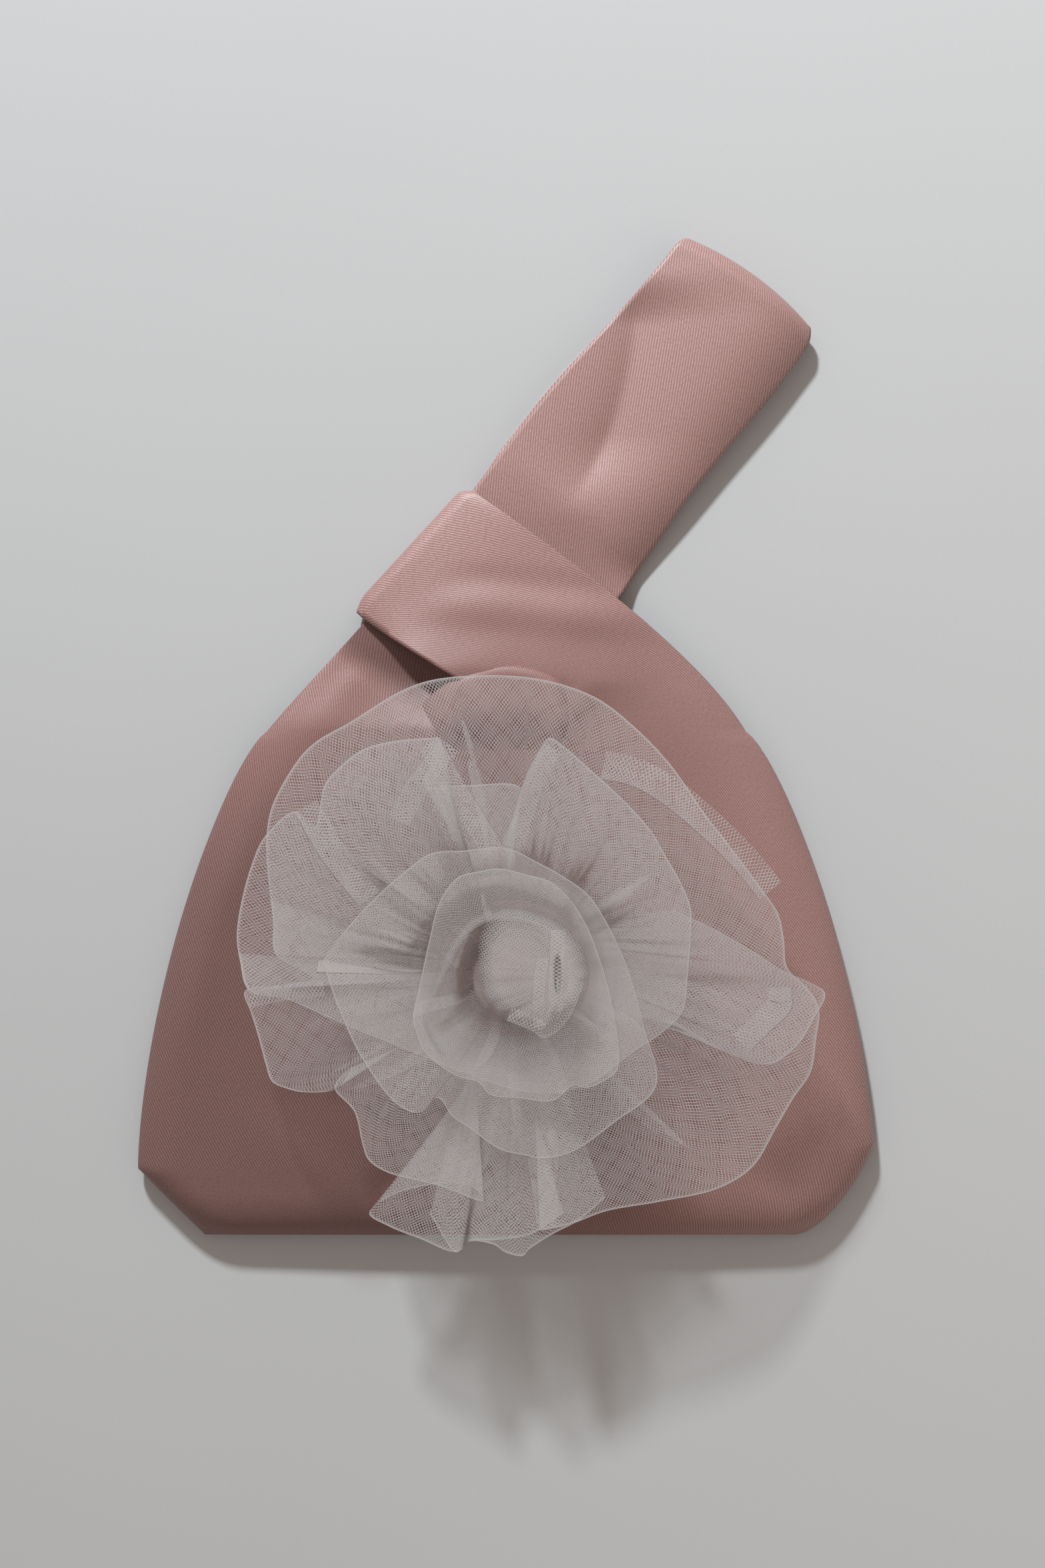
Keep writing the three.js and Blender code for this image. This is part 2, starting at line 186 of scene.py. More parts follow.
# %% [markdown]
# ## The outline of the bag
#
# The base is 264 mm wide, its left corner is cut off at 45 degrees by the boxed seam, and its right
# corner is pushed in and rounder. Above them the sides are a flattened ellipse up to the shoulders.

# %% The outline
BASE_WIDTH, SHOULDER_WIDTH, SHOULDER_Y = 264, 171, 180
BOXED_CORNER, ROUND_CORNER, CROTCH = 24, 33, 6
SIDE_STEEPNESS, SIDE_ROUNDNESS, CORNER_REACH = 1.6, 0.77, 28.8
SATIN, LINING, GAP = 0.7, 0.5, 0.3  # a leaf is all three
EDGE_ROUNDING, CROWN = 16, 2.5
BODY_THICKNESS, MOUTH_THICKNESS, MOUTH_GAPE, FRONT_GAPE_SHARE = 16, 13.5, 5.2, 0.6
SEAM_HEIGHT, SIDE_SEAM_TOP = 4.5, 138
LEAF, LINING_INSET = SATIN + GAP + LINING, SATIN + GAP


def half_width(y, hand):
    """Half the width at a height: a slant or a soft corner, then a flattened ellipse."""
    base = BASE_WIDTH / 2
    t = np.clip((y - BOXED_CORNER) / (SHOULDER_Y - BOXED_CORNER), 0, 1)
    side = mix(SHOULDER_WIDTH / 2, base, (1 - t**SIDE_STEEPNESS) ** SIDE_ROUNDNESS)
    if hand < 0:
        return np.where(y < BOXED_CORNER, base - BOXED_CORNER + y, side)
    down = np.clip((ROUND_CORNER - y) / ROUND_CORNER, 0, 1)
    soft = base - CORNER_REACH + CORNER_REACH * (np.sqrt(1 - down**2) + 1 - down) / 2
    return np.minimum(soft, side)


def width_at(x, y):
    """Half the width on the side that x is on."""
    return np.where(x < 0, half_width(y, -1), half_width(y, 1))


def inset_across(inset, y):
    """An inset measured across the bag: up to twice as much where the side slants to the base."""
    return inset * mix(1, 2, 1 - ease(y, BOXED_CORNER, BOXED_CORNER + EDGE_ROUNDING))


def rounding(distance, inset):
    """How far the cloth has risen at a distance inside an edge: a quarter of an ellipse."""
    s = np.clip(distance / (EDGE_ROUNDING - inset), 0, 1)
    return np.sqrt(1 - (1 - s) ** 2)


def body_height(side, x, y, inset):
    """Height of a panel: from its free edge it rises round the edge to a slightly crowned top."""
    open_share = ease(y, SIDE_SEAM_TOP, SHOULDER_Y)
    seam = SEAM_HEIGHT + side * GAP / 2
    if side > 0:
        free = seam + open_share * MOUTH_GAPE * FRONT_GAPE_SHARE
    else:
        free = mix(seam, LEAF, open_share)
    w = width_at(x, y)
    full = mix(BODY_THICKNESS, MOUTH_THICKNESS, ease(y, SHOULDER_Y / 2, SHOULDER_Y))
    top = full - CROWN * (x / w) ** 2
    depth = top - free if side > 0 else free
    inside = w - inset_across(inset, y)
    rise = rounding(inside - np.abs(x), inset) * rounding(y - inset, inset)
    return free + side * (depth - inset) * rise


print("half the width at mid height:", round(float(half_width(np.array(90.0), 1)), 1))

# %% [markdown]
# ## The knot's own directions
#
# The long loop runs up to the right at 54 degrees and the short loop crosses it at a right angle.
# In the knot, d is measured along the long loop and e across it, to the left, from where they
# cross.

# %% The knot and the edges of the straps
KNOT = np.array([-3.5, 222.6])
LOOP_ANGLE = math.radians(54)
ALONG = np.array([math.cos(LOOP_ANGLE), math.sin(LOOP_ANGLE)])
ACROSS = np.array([-ALONG[1], ALONG[0]])
LONG_WIDTH, SHORT_WIDTH = 65, 60
# Air between two leaves, room inside the long strap, and where the short loop folds back.
AIR, STRAP_ROOM, FOLD_REACH, FOLD_SLANT = 1.0, 1.4, 39.5, 3.5
LONG_BACK, LONG_FRONT = LEAF + AIR, LEAF + AIR + 2 * LEAF + STRAP_ROOM
SHORT_FRONT = LONG_FRONT + AIR + LEAF
FOLD_RADIUS = SHORT_FRONT / 2
HINGE = SHORT_WIDTH / 2 + 1.2


def in_knot(e, d):
    """The point in plan at e across and d along from the knot's middle."""
    e, d = np.broadcast_arrays(np.asarray(e, float), np.asarray(d, float))
    return KNOT + e[..., None] * ACROSS + d[..., None] * ALONG


def to_knot(x, y):
    """How far across and along a point in plan lies from the knot's middle."""
    dx, dy = x - KNOT[0], y - KNOT[1]
    return dx * ACROSS[0] + dy * ACROSS[1], dx * ALONG[0] + dy * ALONG[1]


def bezier(p, t):
    """A cubic Bezier curve through the first and last of four points."""
    t = np.asarray(t, float)[..., None]
    u = 1 - t
    return u**3 * p[0] + 3 * u**2 * t * p[1] + 3 * u * t**2 * p[2] + t**3 * p[3]


shoulder = SHOULDER_WIDTH / 2
fold_upper = in_knot(FOLD_REACH - FOLD_SLANT - FOLD_RADIUS, SHORT_WIDTH / 2)
fold_lower = in_knot(FOLD_REACH + FOLD_SLANT - FOLD_RADIUS, -SHORT_WIDTH / 2)
strap_edges = {
    "long": (
        [(-shoulder, 180), (12 - shoulder, 195), in_knot(32.5, -13), in_knot(32.5, HINGE - 0.2)],
        [(-CROTCH, 180), (9 - CROTCH, 190), in_knot(-32.5, 0), in_knot(-32.5, HINGE - 0.2)],
    ),
    "short": (
        [(shoulder, 180), (shoulder - 16, 207), in_knot(36 - FOLD_RADIUS - 50, 30), fold_upper],
        [(CROTCH, 180), (CROTCH - 6, 190), fold_lower - 28 * ACROSS, fold_lower],
    ),
}
strap_edges = {
    strap: [np.array([list(point) for point in edge], float) for edge in edges]
    for strap, edges in strap_edges.items()
}
print("the short loop folds back between", fold_upper.round(1), "and", fold_lower.round(1))

# %% [markdown]
# ## Soft relief of the cloth
#
# Satin shows every swell, because its sheen changes with each degree of tilt. The swells here are
# low rounded ridges, each along a line, with its own height and a softer or a sharper slope on
# either side. They are added to the height of the panels, so they are real shape and catch real
# light.

# %% Ridges and swells
def ridge(x, y, start, end, height, left, right, fade=0.3):
    """A low ridge along a line: a bell curve across it, one width a side, faded at its ends."""
    start, end = np.array(start, float), np.array(end, float)
    way = end - start
    length = np.hypot(*way)
    way = way / length
    dx, dy = x - start[0], y - start[1]
    along = (dx * way[0] + dy * way[1]) / length
    across = dx * way[1] - dy * way[0]
    width = np.where(across < 0, left, right)
    ends = ease(along, -fade, fade) * (1 - ease(along, 1 - fade, 1 + fade))
    return height * np.exp(-((across / width) ** 2)) * ends


FRONT_RIDGES = [
    ((-12, 196), (4, 158), 1.7, 4, 5), ((26, 192), (8, 156), 1.8, 4, 5),
    ((-24, 186), (-14, 150), 1.0, 7, 6), ((-56, 214), (-22, 196), -2.4, 9, 8, 0.15),
    ((-48, 214), (-70, 172), 0.9, 9, 7), ((-74, 168), (-96, 118), 1.0, 9, 12),
    ((-98, 150), (-118, 60), 0.7, 10, 14), ((60, 190), (104, 120), 0.8, 14, 12),
    ((-88, 42), (-50, 12), 0.8, 6, 12), ((60, 20), (118, 44), 0.6, 10, 12),
]
RELIEF_FADE = (1, 14)
# The short loop's waves: above the switch the upper one, each by its crest and half its length.
WAVE_SWITCH, UPPER_WAVE, LOWER_WAVE = 214.6, (225, 10.4), (199.5, 15.1)
WAVE_HEIGHT, WAVE_SLANT, PUFF = 0.55, 0.10, 2.6


def front_relief(x, y):
    """Swells of the front: creases that spread from the neckline, and wide soft dents."""
    return sum(ridge(x, y, *line) for line in FRONT_RIDGES)


def short_relief(e, d):
    """Swells of the short loop over the long one: two waves, level with the base, on a wide puff
    that slopes down to the fold."""
    x, y = xy(in_knot(e, d))
    level = y + WAVE_SLANT * (x + 10)
    waves = (UPPER_WAVE, LOWER_WAVE)
    upper, lower = (np.cos((level - crest) * math.pi / half) for crest, half in waves)
    wave = np.where(level > WAVE_SWITCH, upper, lower)
    reach = ease(level, 196, 203) * (1 - ease(level, 232, 246))
    sides = ease(e, -62, -30) * (1 - ease(e, 8, 28))
    fold = mix(38.3, 31.3, (d + 30) / 60)
    puff = PUFF * (1 - np.clip((e + 4) / (fold + 4), 0, 1) ** 2.6) * ease(e, -70, -20)
    return WAVE_HEIGHT * wave * reach * sides + puff


swells = front_relief(*np.meshgrid(np.arange(-130, 130, 2.0), np.arange(0, 210, 2.0)))
print("highest swell:", round(float(swells.max()), 2), "mm")

# %% [markdown]
# ## The panels
#
# A panel runs without a seam from the base into its two half straps. Its columns bunch up near the
# outer edge, where the cloth turns over, and are even inside it. The weave's flat place is the
# distance up the cloth and the distance from its middle, so the ribs fan out with the shape.

# %% Columns and rows
RIM_COLUMNS, WIDE_COLUMNS, CROTCH_COLUMNS = 10, 34, 5
STRAP_ROWS, FOLD_ROWS = 64, 10
FAN_OUT = 0.6
STRAP_MIDDLE = (SHOULDER_WIDTH / 2 + CROTCH) / 2 * (BASE_WIDTH / SHOULDER_WIDTH) ** FAN_OUT
rim_shares = 1 - np.cos(np.linspace(0, math.pi / 2, RIM_COLUMNS))
wide_shares = np.linspace(0, 1, WIDE_COLUMNS + 1)[1:]


def columns_between(outer, inner, inset=0.0):
    """Points from an outer to an inner edge: even turns round the rim, then even steps."""
    width = np.linalg.norm(inner - outer, axis=-1)[:, None]
    rim = np.minimum((EDGE_ROUNDING - inset) / width, 0.5)
    share = np.hstack([rim * rim_shares, rim + (1 - rim) * wide_shares])
    return outer[:, None] + (inner - outer)[:, None] * share[..., None]


def body_rows(inset):
    """Heights of the rows: even turns round the base, then even steps up to the shoulders."""
    turn = EDGE_ROUNDING * (1 - np.cos(np.linspace(0, math.pi / 2, 10)))
    rows = np.concatenate([turn, np.linspace(EDGE_ROUNDING, SHOULDER_Y, 84)[1:]])
    return mix(inset, SHOULDER_Y, rows / SHOULDER_Y)


def cloth_across(x, y):
    """Distance from the middle of the flat cloth, which is drawn in a bit as the sides narrow."""
    return x * (BASE_WIDTH / 2 / width_at(x, y)) ** FAN_OUT


def body_patch(side, part, inset):
    """One part of the body: the left half, the right half or the strip between the straps."""
    y = body_rows(inset)
    if part == 0:
        plan = stack(np.linspace(-CROTCH, CROTCH, CROTCH_COLUMNS)[None, :], y[:, None])
    else:
        outer = stack(part * (half_width(y, part) - inset_across(inset, y)), y)
        inner = stack(part * CROTCH, y)
        plan = columns_between(outer, inner, inset)
        if part > 0:
            plan = plan[:, ::-1]
    x, y = xy(plan)
    z = body_height(side, x, y, inset)
    if side > 0:
        inside = width_at(x, y) - np.abs(x)
        z = z + front_relief(x, y) * ease(np.minimum(inside, y), *RELIEF_FADE)
    return {"points": stack(x, y, z), "flat": stack(cloth_across(x, y), y)}


def centre_length(strap, t):
    """Length of a strap's middle line up to t, from the distances between closely set points."""
    fine = np.linspace(0, 1, 400)
    middle = (bezier(strap_edges[strap][0], fine) + bezier(strap_edges[strap][1], fine)) / 2
    return np.interp(t, fine, run_along(middle))


# For each half strap: its level in the knot, the shares of its way at which it starts and ends to
# sink there at its outer edge and at its inner edge, and how high it bulges on the way.
STRAP_LEVELS = {
    ("long", 1): (LONG_FRONT, (0, 0.6, 0, 0.26), 0),
    ("long", -1): (LONG_BACK, (0, 0.5, 0, 0.12), 0),
    ("short", 1): (SHORT_FRONT, (0.1, 0.8, 0.3, 0.95), 2.8),
    ("short", -1): (0, (0, 0.4, 0, 0.3), 0),
}
STRAP_REACH = {"long": 0.8, "short": 1.0}


def soft_corners(points):
    """Draws the two corners of the short loop's fold inwards, by the square of the way past a
    distance from its middle line: the upper corner is a short cut, the lower one a long bend."""
    e, d = to_knot(*xy(points))
    upper = 3.4 * np.clip((d - 26.2) / 3.8, 0, 1.1) ** 2
    lower = 2.6 * np.clip((-d - 21) / 9, 0, 1.3) ** 2
    pulled = points.copy()
    pulled[..., :2] -= ((upper + lower) * ease(e, 8, 40))[..., None] * ACROSS
    return pulled


def strap_patch(side, strap, inset):
    """Half a strap: straight lines between its two edges, sinking to its level in the knot."""
    t = np.linspace(0, 1, STRAP_ROWS) * STRAP_REACH[strap]
    outer, inner = (bezier(e, t) for e in strap_edges[strap])
    outer = outer + unit(inner - outer) * inset
    plan = columns_between(outer, inner, inset)
    from_edge = np.linalg.norm(plan - outer[:, None], axis=-1)
    wide = np.linalg.norm(inner - outer, axis=-1)[:, None]
    c = from_edge / wide
    level, settle, lift = STRAP_LEVELS[(strap, side)]
    start_x = plan[0, :, 0]
    base = body_height(side, start_x, np.full_like(start_x, SHOULDER_Y), inset)
    start, end = mix(settle[0], settle[2], c), mix(settle[1], settle[3], c)
    down = ease(t[:, None], start, end)
    bulge = lift * c**1.5 * ease(t[:, None], 0.3, 0.6) * (1 - ease(t[:, None], 0.7, 1.0))
    z = mix(base[None, :], level - side * inset, down) + bulge
    x, y = xy(plan)
    if side > 0:
        keep = ease(from_edge, *RELIEF_FADE)
        if strap == "short":
            e, d = to_knot(x, y)
            z = z + short_relief(e, d) * ease(t[:, None], 0.05, 0.3)
            keep = keep * (1 - ease(t[:, None], 0.2, 0.45))
        else:
            keep = keep * (1 - ease(t[:, None], 0.3, 0.5))
        z = z + front_relief(x, y) * keep
    stretch = mix((BASE_WIDTH / SHOULDER_WIDTH) ** FAN_OUT, 1, ease(t / 0.4, 0, 1))[:, None]
    hand = -1 if strap == "long" else 1
    across = hand * (STRAP_MIDDLE + (0.5 - c) * wide * stretch)
    up = SHOULDER_Y + centre_length(strap, t)[:, None]
    points, flat = stack(x, y, z), stack(across, up)
    if hand > 0:
        points, flat = soft_corners(points)[:, ::-1], flat[:, ::-1]
    return {"points": points, "flat": flat}


def fold_patch(side, inset):
    """The short loop turning back under the long one: a quarter of a circle round its fold, which
    starts at the slope that the puffed strap arrives with."""
    down = unit(fold_lower - fold_upper)
    out = np.array([down[1], -down[0]])
    line = columns_between((fold_upper + down * inset)[None], fold_lower[None], inset)[0][::-1]
    seam = GAP / 2 / FOLD_RADIUS
    first = math.pi / 2 - (0.20 if side > 0 else 0)
    angle = np.linspace(first, seam, FOLD_ROWS)
    radius = FOLD_RADIUS - inset
    reach = (np.cos(angle) - math.cos(first)) / (1 - math.cos(first))
    plan = line[None] + (radius * reach)[:, None, None] * out
    z = FOLD_RADIUS + side * radius * np.sin(angle) / math.sin(first)
    end = SHOULDER_Y + centre_length("short", 1.0)
    up = end + FOLD_RADIUS * (first - angle)
    run = np.linalg.norm(line - line[0], axis=-1)
    across = STRAP_MIDDLE - run[-1] / 2 + run
    flat = stack(across[None, :], up[:, None])
    return {"points": soft_corners(lifted(plan, z[:, None])), "flat": flat}


NECK_LEFT, NECK_RIGHT, NECK_FOOT, NECK_CREST = -36, 33, 168, 203.6


def neck_patch():
    """The neckline's edge between the straps: the panel runs on upwards to an arched line, stands
    a little over the knot there and rolls back at its very edge."""
    x = np.linspace(NECK_LEFT, NECK_RIGHT, 70)[None, :]
    v = np.linspace(0, 1, 30)[:, None]
    y = mix(NECK_FOOT, NECK_CREST - (x / 8.2) ** 2, v)
    flat_y = np.minimum(y, SHOULDER_Y)
    top = body_height(1, x, flat_y, 0) + front_relief(x, y)
    top = top + mix(-0.4, 4.0, ease(v, 0.05, 0.62)) - 1.6 * np.clip((v - 0.88) / 0.12, 0, 1) ** 2
    aside = ease(x, NECK_LEFT, -19) * (1 - ease(x, 16, NECK_RIGHT))
    z = mix(6.5, top, aside)
    return {"points": stack(x, y, z), "flat": stack(cloth_across(x, flat_y), y)}


# Painted light on the satin: painted shade on the body's left, painted light on its right and near
# the top, painted sheen added in the loops, and the share of painted shadow under the short loop's
# fold.
PAINTED_SHADE_LEFT, PAINTED_LIGHT_RIGHT, PAINTED_LIGHT_TOP, PAINTED_SHEEN_LOOPS, PAINTED_SHADOW_UNDER_FOLD = 0.56, 0.98, 0.92, 0.2, 0.4


def painted_sheen_and_shade_at(points):
    """Painted sheen and shade on the satin: painted shade down the body's left and a painted shadow
    where the long strap dives under the fold, painted sheen on the right and in the loops."""
    x, y = xy(points)
    body = mix(PAINTED_SHADE_LEFT, PAINTED_LIGHT_RIGHT, ease(x, -40, 125))
    painted_sheen_and_shade = mix(body, PAINTED_LIGHT_TOP, ease(y + 0.3 * np.abs(x), 150, 236))
    painted_sheen_and_shade = painted_sheen_and_shade + PAINTED_SHEEN_LOOPS * ease(y, 206, 280)
    e, d = to_knot(x, y)
    # Painted shadow where the long strap dives under the short loop's fold.
    under = np.where(d < -28.5, ease(d, -48, -38) * ease(e, -3, 10) * (1 - ease(e, 36, 44)), 0)
    return painted_sheen_and_shade * (1 - PAINTED_SHADOW_UNDER_FOLD * under)


def panel_patches(side, inset):
    """The patches of one panel: the body in three, two half straps, the turn of the short one."""
    patches = [body_patch(side, part, inset) for part in (-1, 0, 1)]
    patches += [strap_patch(side, strap, inset) for strap in ("long", "short")]
    return patches + [fold_patch(side, inset)]


def cloth_piece(name, patches, side, thickness):
    """A piece of satin or lining, as thick as the cloth, marked with its painted sheen and shade.
    """
    for patch in patches:
        patch["painted_sheen_and_shade"] = painted_sheen_and_shade_at(patch["points"])
    thicken(make_piece(name, patches, flip=side < 0, marks=("painted_sheen_and_shade",)), thickness)


cloth_piece("satin_front", panel_patches(1, 0) + [neck_patch()], 1, SATIN)
cloth_piece("satin_back", panel_patches(-1, 0), -1, SATIN)
cloth_piece("lining_front", panel_patches(1, LINING_INSET), 1, LINING)
cloth_piece("lining_back", panel_patches(-1, LINING_INSET), -1, LINING)

# %% [markdown]
# ## The long loop
#
# Beyond the short loop the long one runs on to its own fold. Its front leaf comes down from the
# thick fold in a slanting step on the left and in a long slope on the right, and its back leaf lies
# on the table and shows as a sliver on the left. Both start a little way back under the short loop,
# out of sight.

# %% The loop's two leaves
LOOP_LENGTH, LOOP_END_WIDTH, LOOP_END_THICKNESS = 117, 59, 13.6
LOOP_ROWS, LOOP_TURN, LOOP_COLUMNS = 96, 12, 48
LOOP_CROWN, DROOP, DENT_DEPTH, RISE_LENGTH = 1.8, 5.4, 4.4, 96
DENT_X, DENT_Y, DENT_BEND, DENT_STEEP, DENT_GENTLE = 45.8, 330, 0.0048, 11, 22
LOOP_START, HIDDEN_ROWS, LOOP_DRIFT, LOOP_BOW = (4.6, 13.9), 0.16, 4.6, 3.2
loop_radius = LOOP_END_THICKNESS / 2
loop_straight = LOOP_LENGTH - loop_radius


def loop_height(side, e, d):
    """Height of a leaf. The back sinks to the table, soonest at its right edge. The front rises to
    the thick fold, droops to its right edge as far as the leaf below allows, and has a dent along
    a slightly bent line that is steep on its left."""
    back = LONG_BACK * (1 - ease(d, HINGE + 4, HINGE + 30))
    back = back * (1 - ease(-e, 0, 24) * ease(d, HINGE - 1, HINGE + 6))
    if side < 0:
        return back
    rise = 1 - (1 - np.clip((d - HINGE) / RISE_LENGTH, 0, 1)) ** 1.5
    crown = LOOP_CROWN * (1 - (e / 33) ** 2)
    crown = crown * ease(d, HINGE, HINGE + 18) * (1 - 0.6 * ease(d, 128, 146))
    droop = DROOP * np.clip((-e - 6) / 27, 0, 1.1) ** 3 * ease(d, HINGE - 3, HINGE + 12)
    x, y = xy(in_knot(e, d))
    off = 0.95 * (x - (DENT_X - DENT_BEND * (DENT_Y - y) ** 2))
    wide = np.where(off < 0, DENT_STEEP, DENT_GENTLE)
    dent = np.exp(-(np.hypot(off, 1.2) - 1.2) / wide) * ease(y, 256, 286) * (1 - ease(y, 324, 342))
    above = mix(LONG_FRONT, LOOP_END_THICKNESS, rise) + crown - droop - DENT_DEPTH * dent
    above = above - back - 2 * LEAF
    return back + 2 * LEAF + (above + np.sqrt(above**2 + 1)) / 2


def loop_patch(side, inset):
    """Half the long loop: rows from under the knot to the fold, then a quarter turn round it."""
    u = np.linspace(0, 1, LOOP_COLUMNS)[None, :]
    share = np.linspace(0, 1, LOOP_ROWS)[:, None]
    d = np.where(
        share < HIDDEN_ROWS,
        mix(mix(*LOOP_START, u), HINGE + 0.2, share / HIDDEN_ROWS),
        mix(HINGE + 0.2, HINGE + loop_straight, (share - HIDDEN_ROWS) / (1 - HIDDEN_ROWS)),
    )
    reach = np.clip((d - HINGE) / loop_straight, 0, 1)
    width = mix(LONG_WIDTH, LOOP_END_WIDTH, reach)
    e = (0.5 - u) * (width - 2 * inset) - LOOP_DRIFT * ease(reach, 0.3, 1)
    bow = LOOP_BOW * (1 - (2 * u - 1) ** 2) * ease(reach, 0.6, 1)
    if side < 0:
        e = e + 1.3 * ease(d, 34, 50) * (1 - ease(d, 88, 112))
    z = loop_height(side, e, d) - side * inset + 0 * u
    level = z[-1]
    angle = np.linspace(math.pi / 2, GAP / 2 / loop_radius, LOOP_TURN)[1:, None]
    radius = loop_radius - inset
    top = level - LOOP_END_THICKNESS * (side > 0)
    e_turn = e[-1] * (1 - 0.09 * np.cos(angle) ** 2)
    d_turn = d[-1] + bow[-1] + radius * np.cos(angle)
    z_turn = loop_radius + side * radius * np.sin(angle) + (top + side * inset) * np.sin(angle)
    plan = np.vstack([in_knot(e, d + bow), in_knot(e_turn, d_turn)])
    height = np.vstack([z, z_turn])
    up = np.vstack([d + bow, d[-1] + bow[-1] + loop_radius * (math.pi / 2 - angle)])
    up = up + SHOULDER_Y + centre_length("long", 1.0) - HINGE
    across = (u - 0.5) * np.vstack([width, width[-1] + 0 * angle]) - STRAP_MIDDLE
    return {"points": lifted(plan, height), "flat": stack(across, up)}


cloth_piece("loop_front", [loop_patch(1, 0)], 1, SATIN)
cloth_piece("loop_back", [loop_patch(-1, 0)], -1, SATIN)
cloth_piece("loop_lining_front", [loop_patch(1, LINING_INSET)], 1, LINING)
cloth_piece("loop_lining_back", [loop_patch(-1, LINING_INSET)], -1, LINING)

# %% [markdown]
# ## The flower's gathered strips
#
# Each tier is a strip of tulle folded lengthwise and gathered along its open edges, so it is two
# nets thick and its rim is a soft fold. Seen from above, the rim is what draws the flower: it is
# given as a line of points, with a point turned back wherever the strip makes a pleat. From the
# root on the felt each tier climbs steeply and then leans out to its rim, and the gathers run up it
# as creases that fade towards the rim.

# %% Smooth lines and strips
FLOWER = np.array([2.5, 93.5])
SEAT, NET_FOLD, SWELL, GATHER = 19.2, 0.28, 1.5, 0.5
strips = {}


def smooth_line(points, count, closed):
    """A curve through all the points, with its pull shared by the root of their distances, cut
    into even steps by its length."""
    p = np.asarray(points, float)
    if closed:
        q = np.vstack([p[-1], p, p[0], p[1]])
    else:
        q = np.vstack([2 * p[0] - p[1], p, 2 * p[-1] - p[-2]])
    knots = run_along(q, 0.5)
    a, b, c, d = (q[i : len(q) - 3 + i, None] for i in range(4))
    ta, tb, tc, td = (knots[i : len(q) - 3 + i, None, None] for i in range(4))
    t = tb + (tc - tb) * np.linspace(0, 1, 20, endpoint=False)[None, :, None]

    def between(one, other, start, end):
        return mix(one, other, (t - start) / (end - start))

    ab, bc, cd = between(a, b, ta, tb), between(b, c, tb, tc), between(c, d, tc, td)
    abc, bcd = between(ab, bc, ta, tc), between(bc, cd, tb, td)
    curve = between(abc, bcd, tb, tc).reshape(-1, 3)
    curve = np.vstack([curve, p[0] if closed else p[-1]])
    length = run_along(curve)
    at = np.linspace(0, length[-1], count)
    return stack(*(np.interp(at, length, curve[:, k]) for k in range(3))), at


def soften(values, reach, closed):
    """Each value averaged with its neighbours by a bell curve that reaches so many each way."""
    k = np.exp(-((np.arange(-3 * reach, 3 * reach + 1) / reach) ** 2) / 2)
    padded = np.pad(values, 3 * reach, mode="wrap" if closed else "edge")
    return np.convolve(padded, k / k.sum(), mode="valid")


def creases(run, waves, rng):
    """Irregular waves along a strip: a sum of sines whose phases wander."""
    total = 0
    for wave, share in waves:
        drift = np.interp(run, np.linspace(run[0], run[-1], 14), rng.uniform(0, 5.0, 14))
        total = total + share * np.sin(2 * math.pi * run / wave + drift + rng.uniform(0, 6))
    return total


ACROSS_FOLD = np.array([1, 0.6, 0.25, 0.05, 0, 0.05, 0.25, 0.6, 1])
FOLD_LIFT = np.array([0.25, 0.3, 0.4, 0.5, 0.6, 0.7, 0.75, 0.75, 0.7])


def pleat_patch(fold, start, rng):
    """A gather's pleat that lies on the tier: wide at the root, and closing by the square of the
    way up, until its fold meets its base."""
    wide = rng.uniform(5, 11) * rng.choice((-1, 1))
    end = rng.uniform(0.75, 1.0)
    last = np.searchsorted(fold["rows"], end)
    s = (fold["rows"][:last, None] / end) ** 2
    at = start + wide * (s + (1 - s) * ACROSS_FOLD[None, :])
    at = np.clip(at, 0, fold["top"].shape[1] - 1.001)
    low = at.astype(int)
    row = np.arange(last)[:, None]
    share = (at - low)[..., None]
    points = mix(fold["top"][row, low], fold["top"][row, low + 1], share)
    points[..., 2] += FOLD_LIFT * (0.3 + 0.7 * (1 - s))
    flat = mix(fold["flat"][row, low], fold["flat"][row, low + 1], share)
    edge = (1 - ease(ACROSS_FOLD, 0, 0.06))[None, :] * (1 - s**3)
    return {"points": points, "flat": flat, "gather": 0 * at, "rim": 0.8 * edge}


def tuck_patch(line, side, width):
    """A pleat along a given line: its fold lies on the line, its two nets reach off to a side."""
    line, run = smooth_line(line, 30, False)
    way = unit(np.gradient(line[:, :2], axis=0))
    off = side * stack(-way[:, 1], way[:, 0])[:, None] * width
    plan = line[:, None, :2] + off * ACROSS_FOLD[None, :, None]
    z = line[:, None, 2] + FOLD_LIFT - 1.6 * ACROSS_FOLD
    across = width * np.abs(np.linspace(-1, 1, 9)) * np.sign(np.arange(9) - 4.5)
    flat = stack(run[:, None], across[None, :])
    edge = (1 - ease(ACROSS_FOLD, 0, 0.06)) + 0 * z
    edge = edge * np.sin(np.pi * np.clip(run / run[-1], 0.1, 0.9))[:, None] ** 0.5
    return {"points": lifted(plan, z), "flat": flat, "gather": 0 * z, "rim": 0.8 * edge}


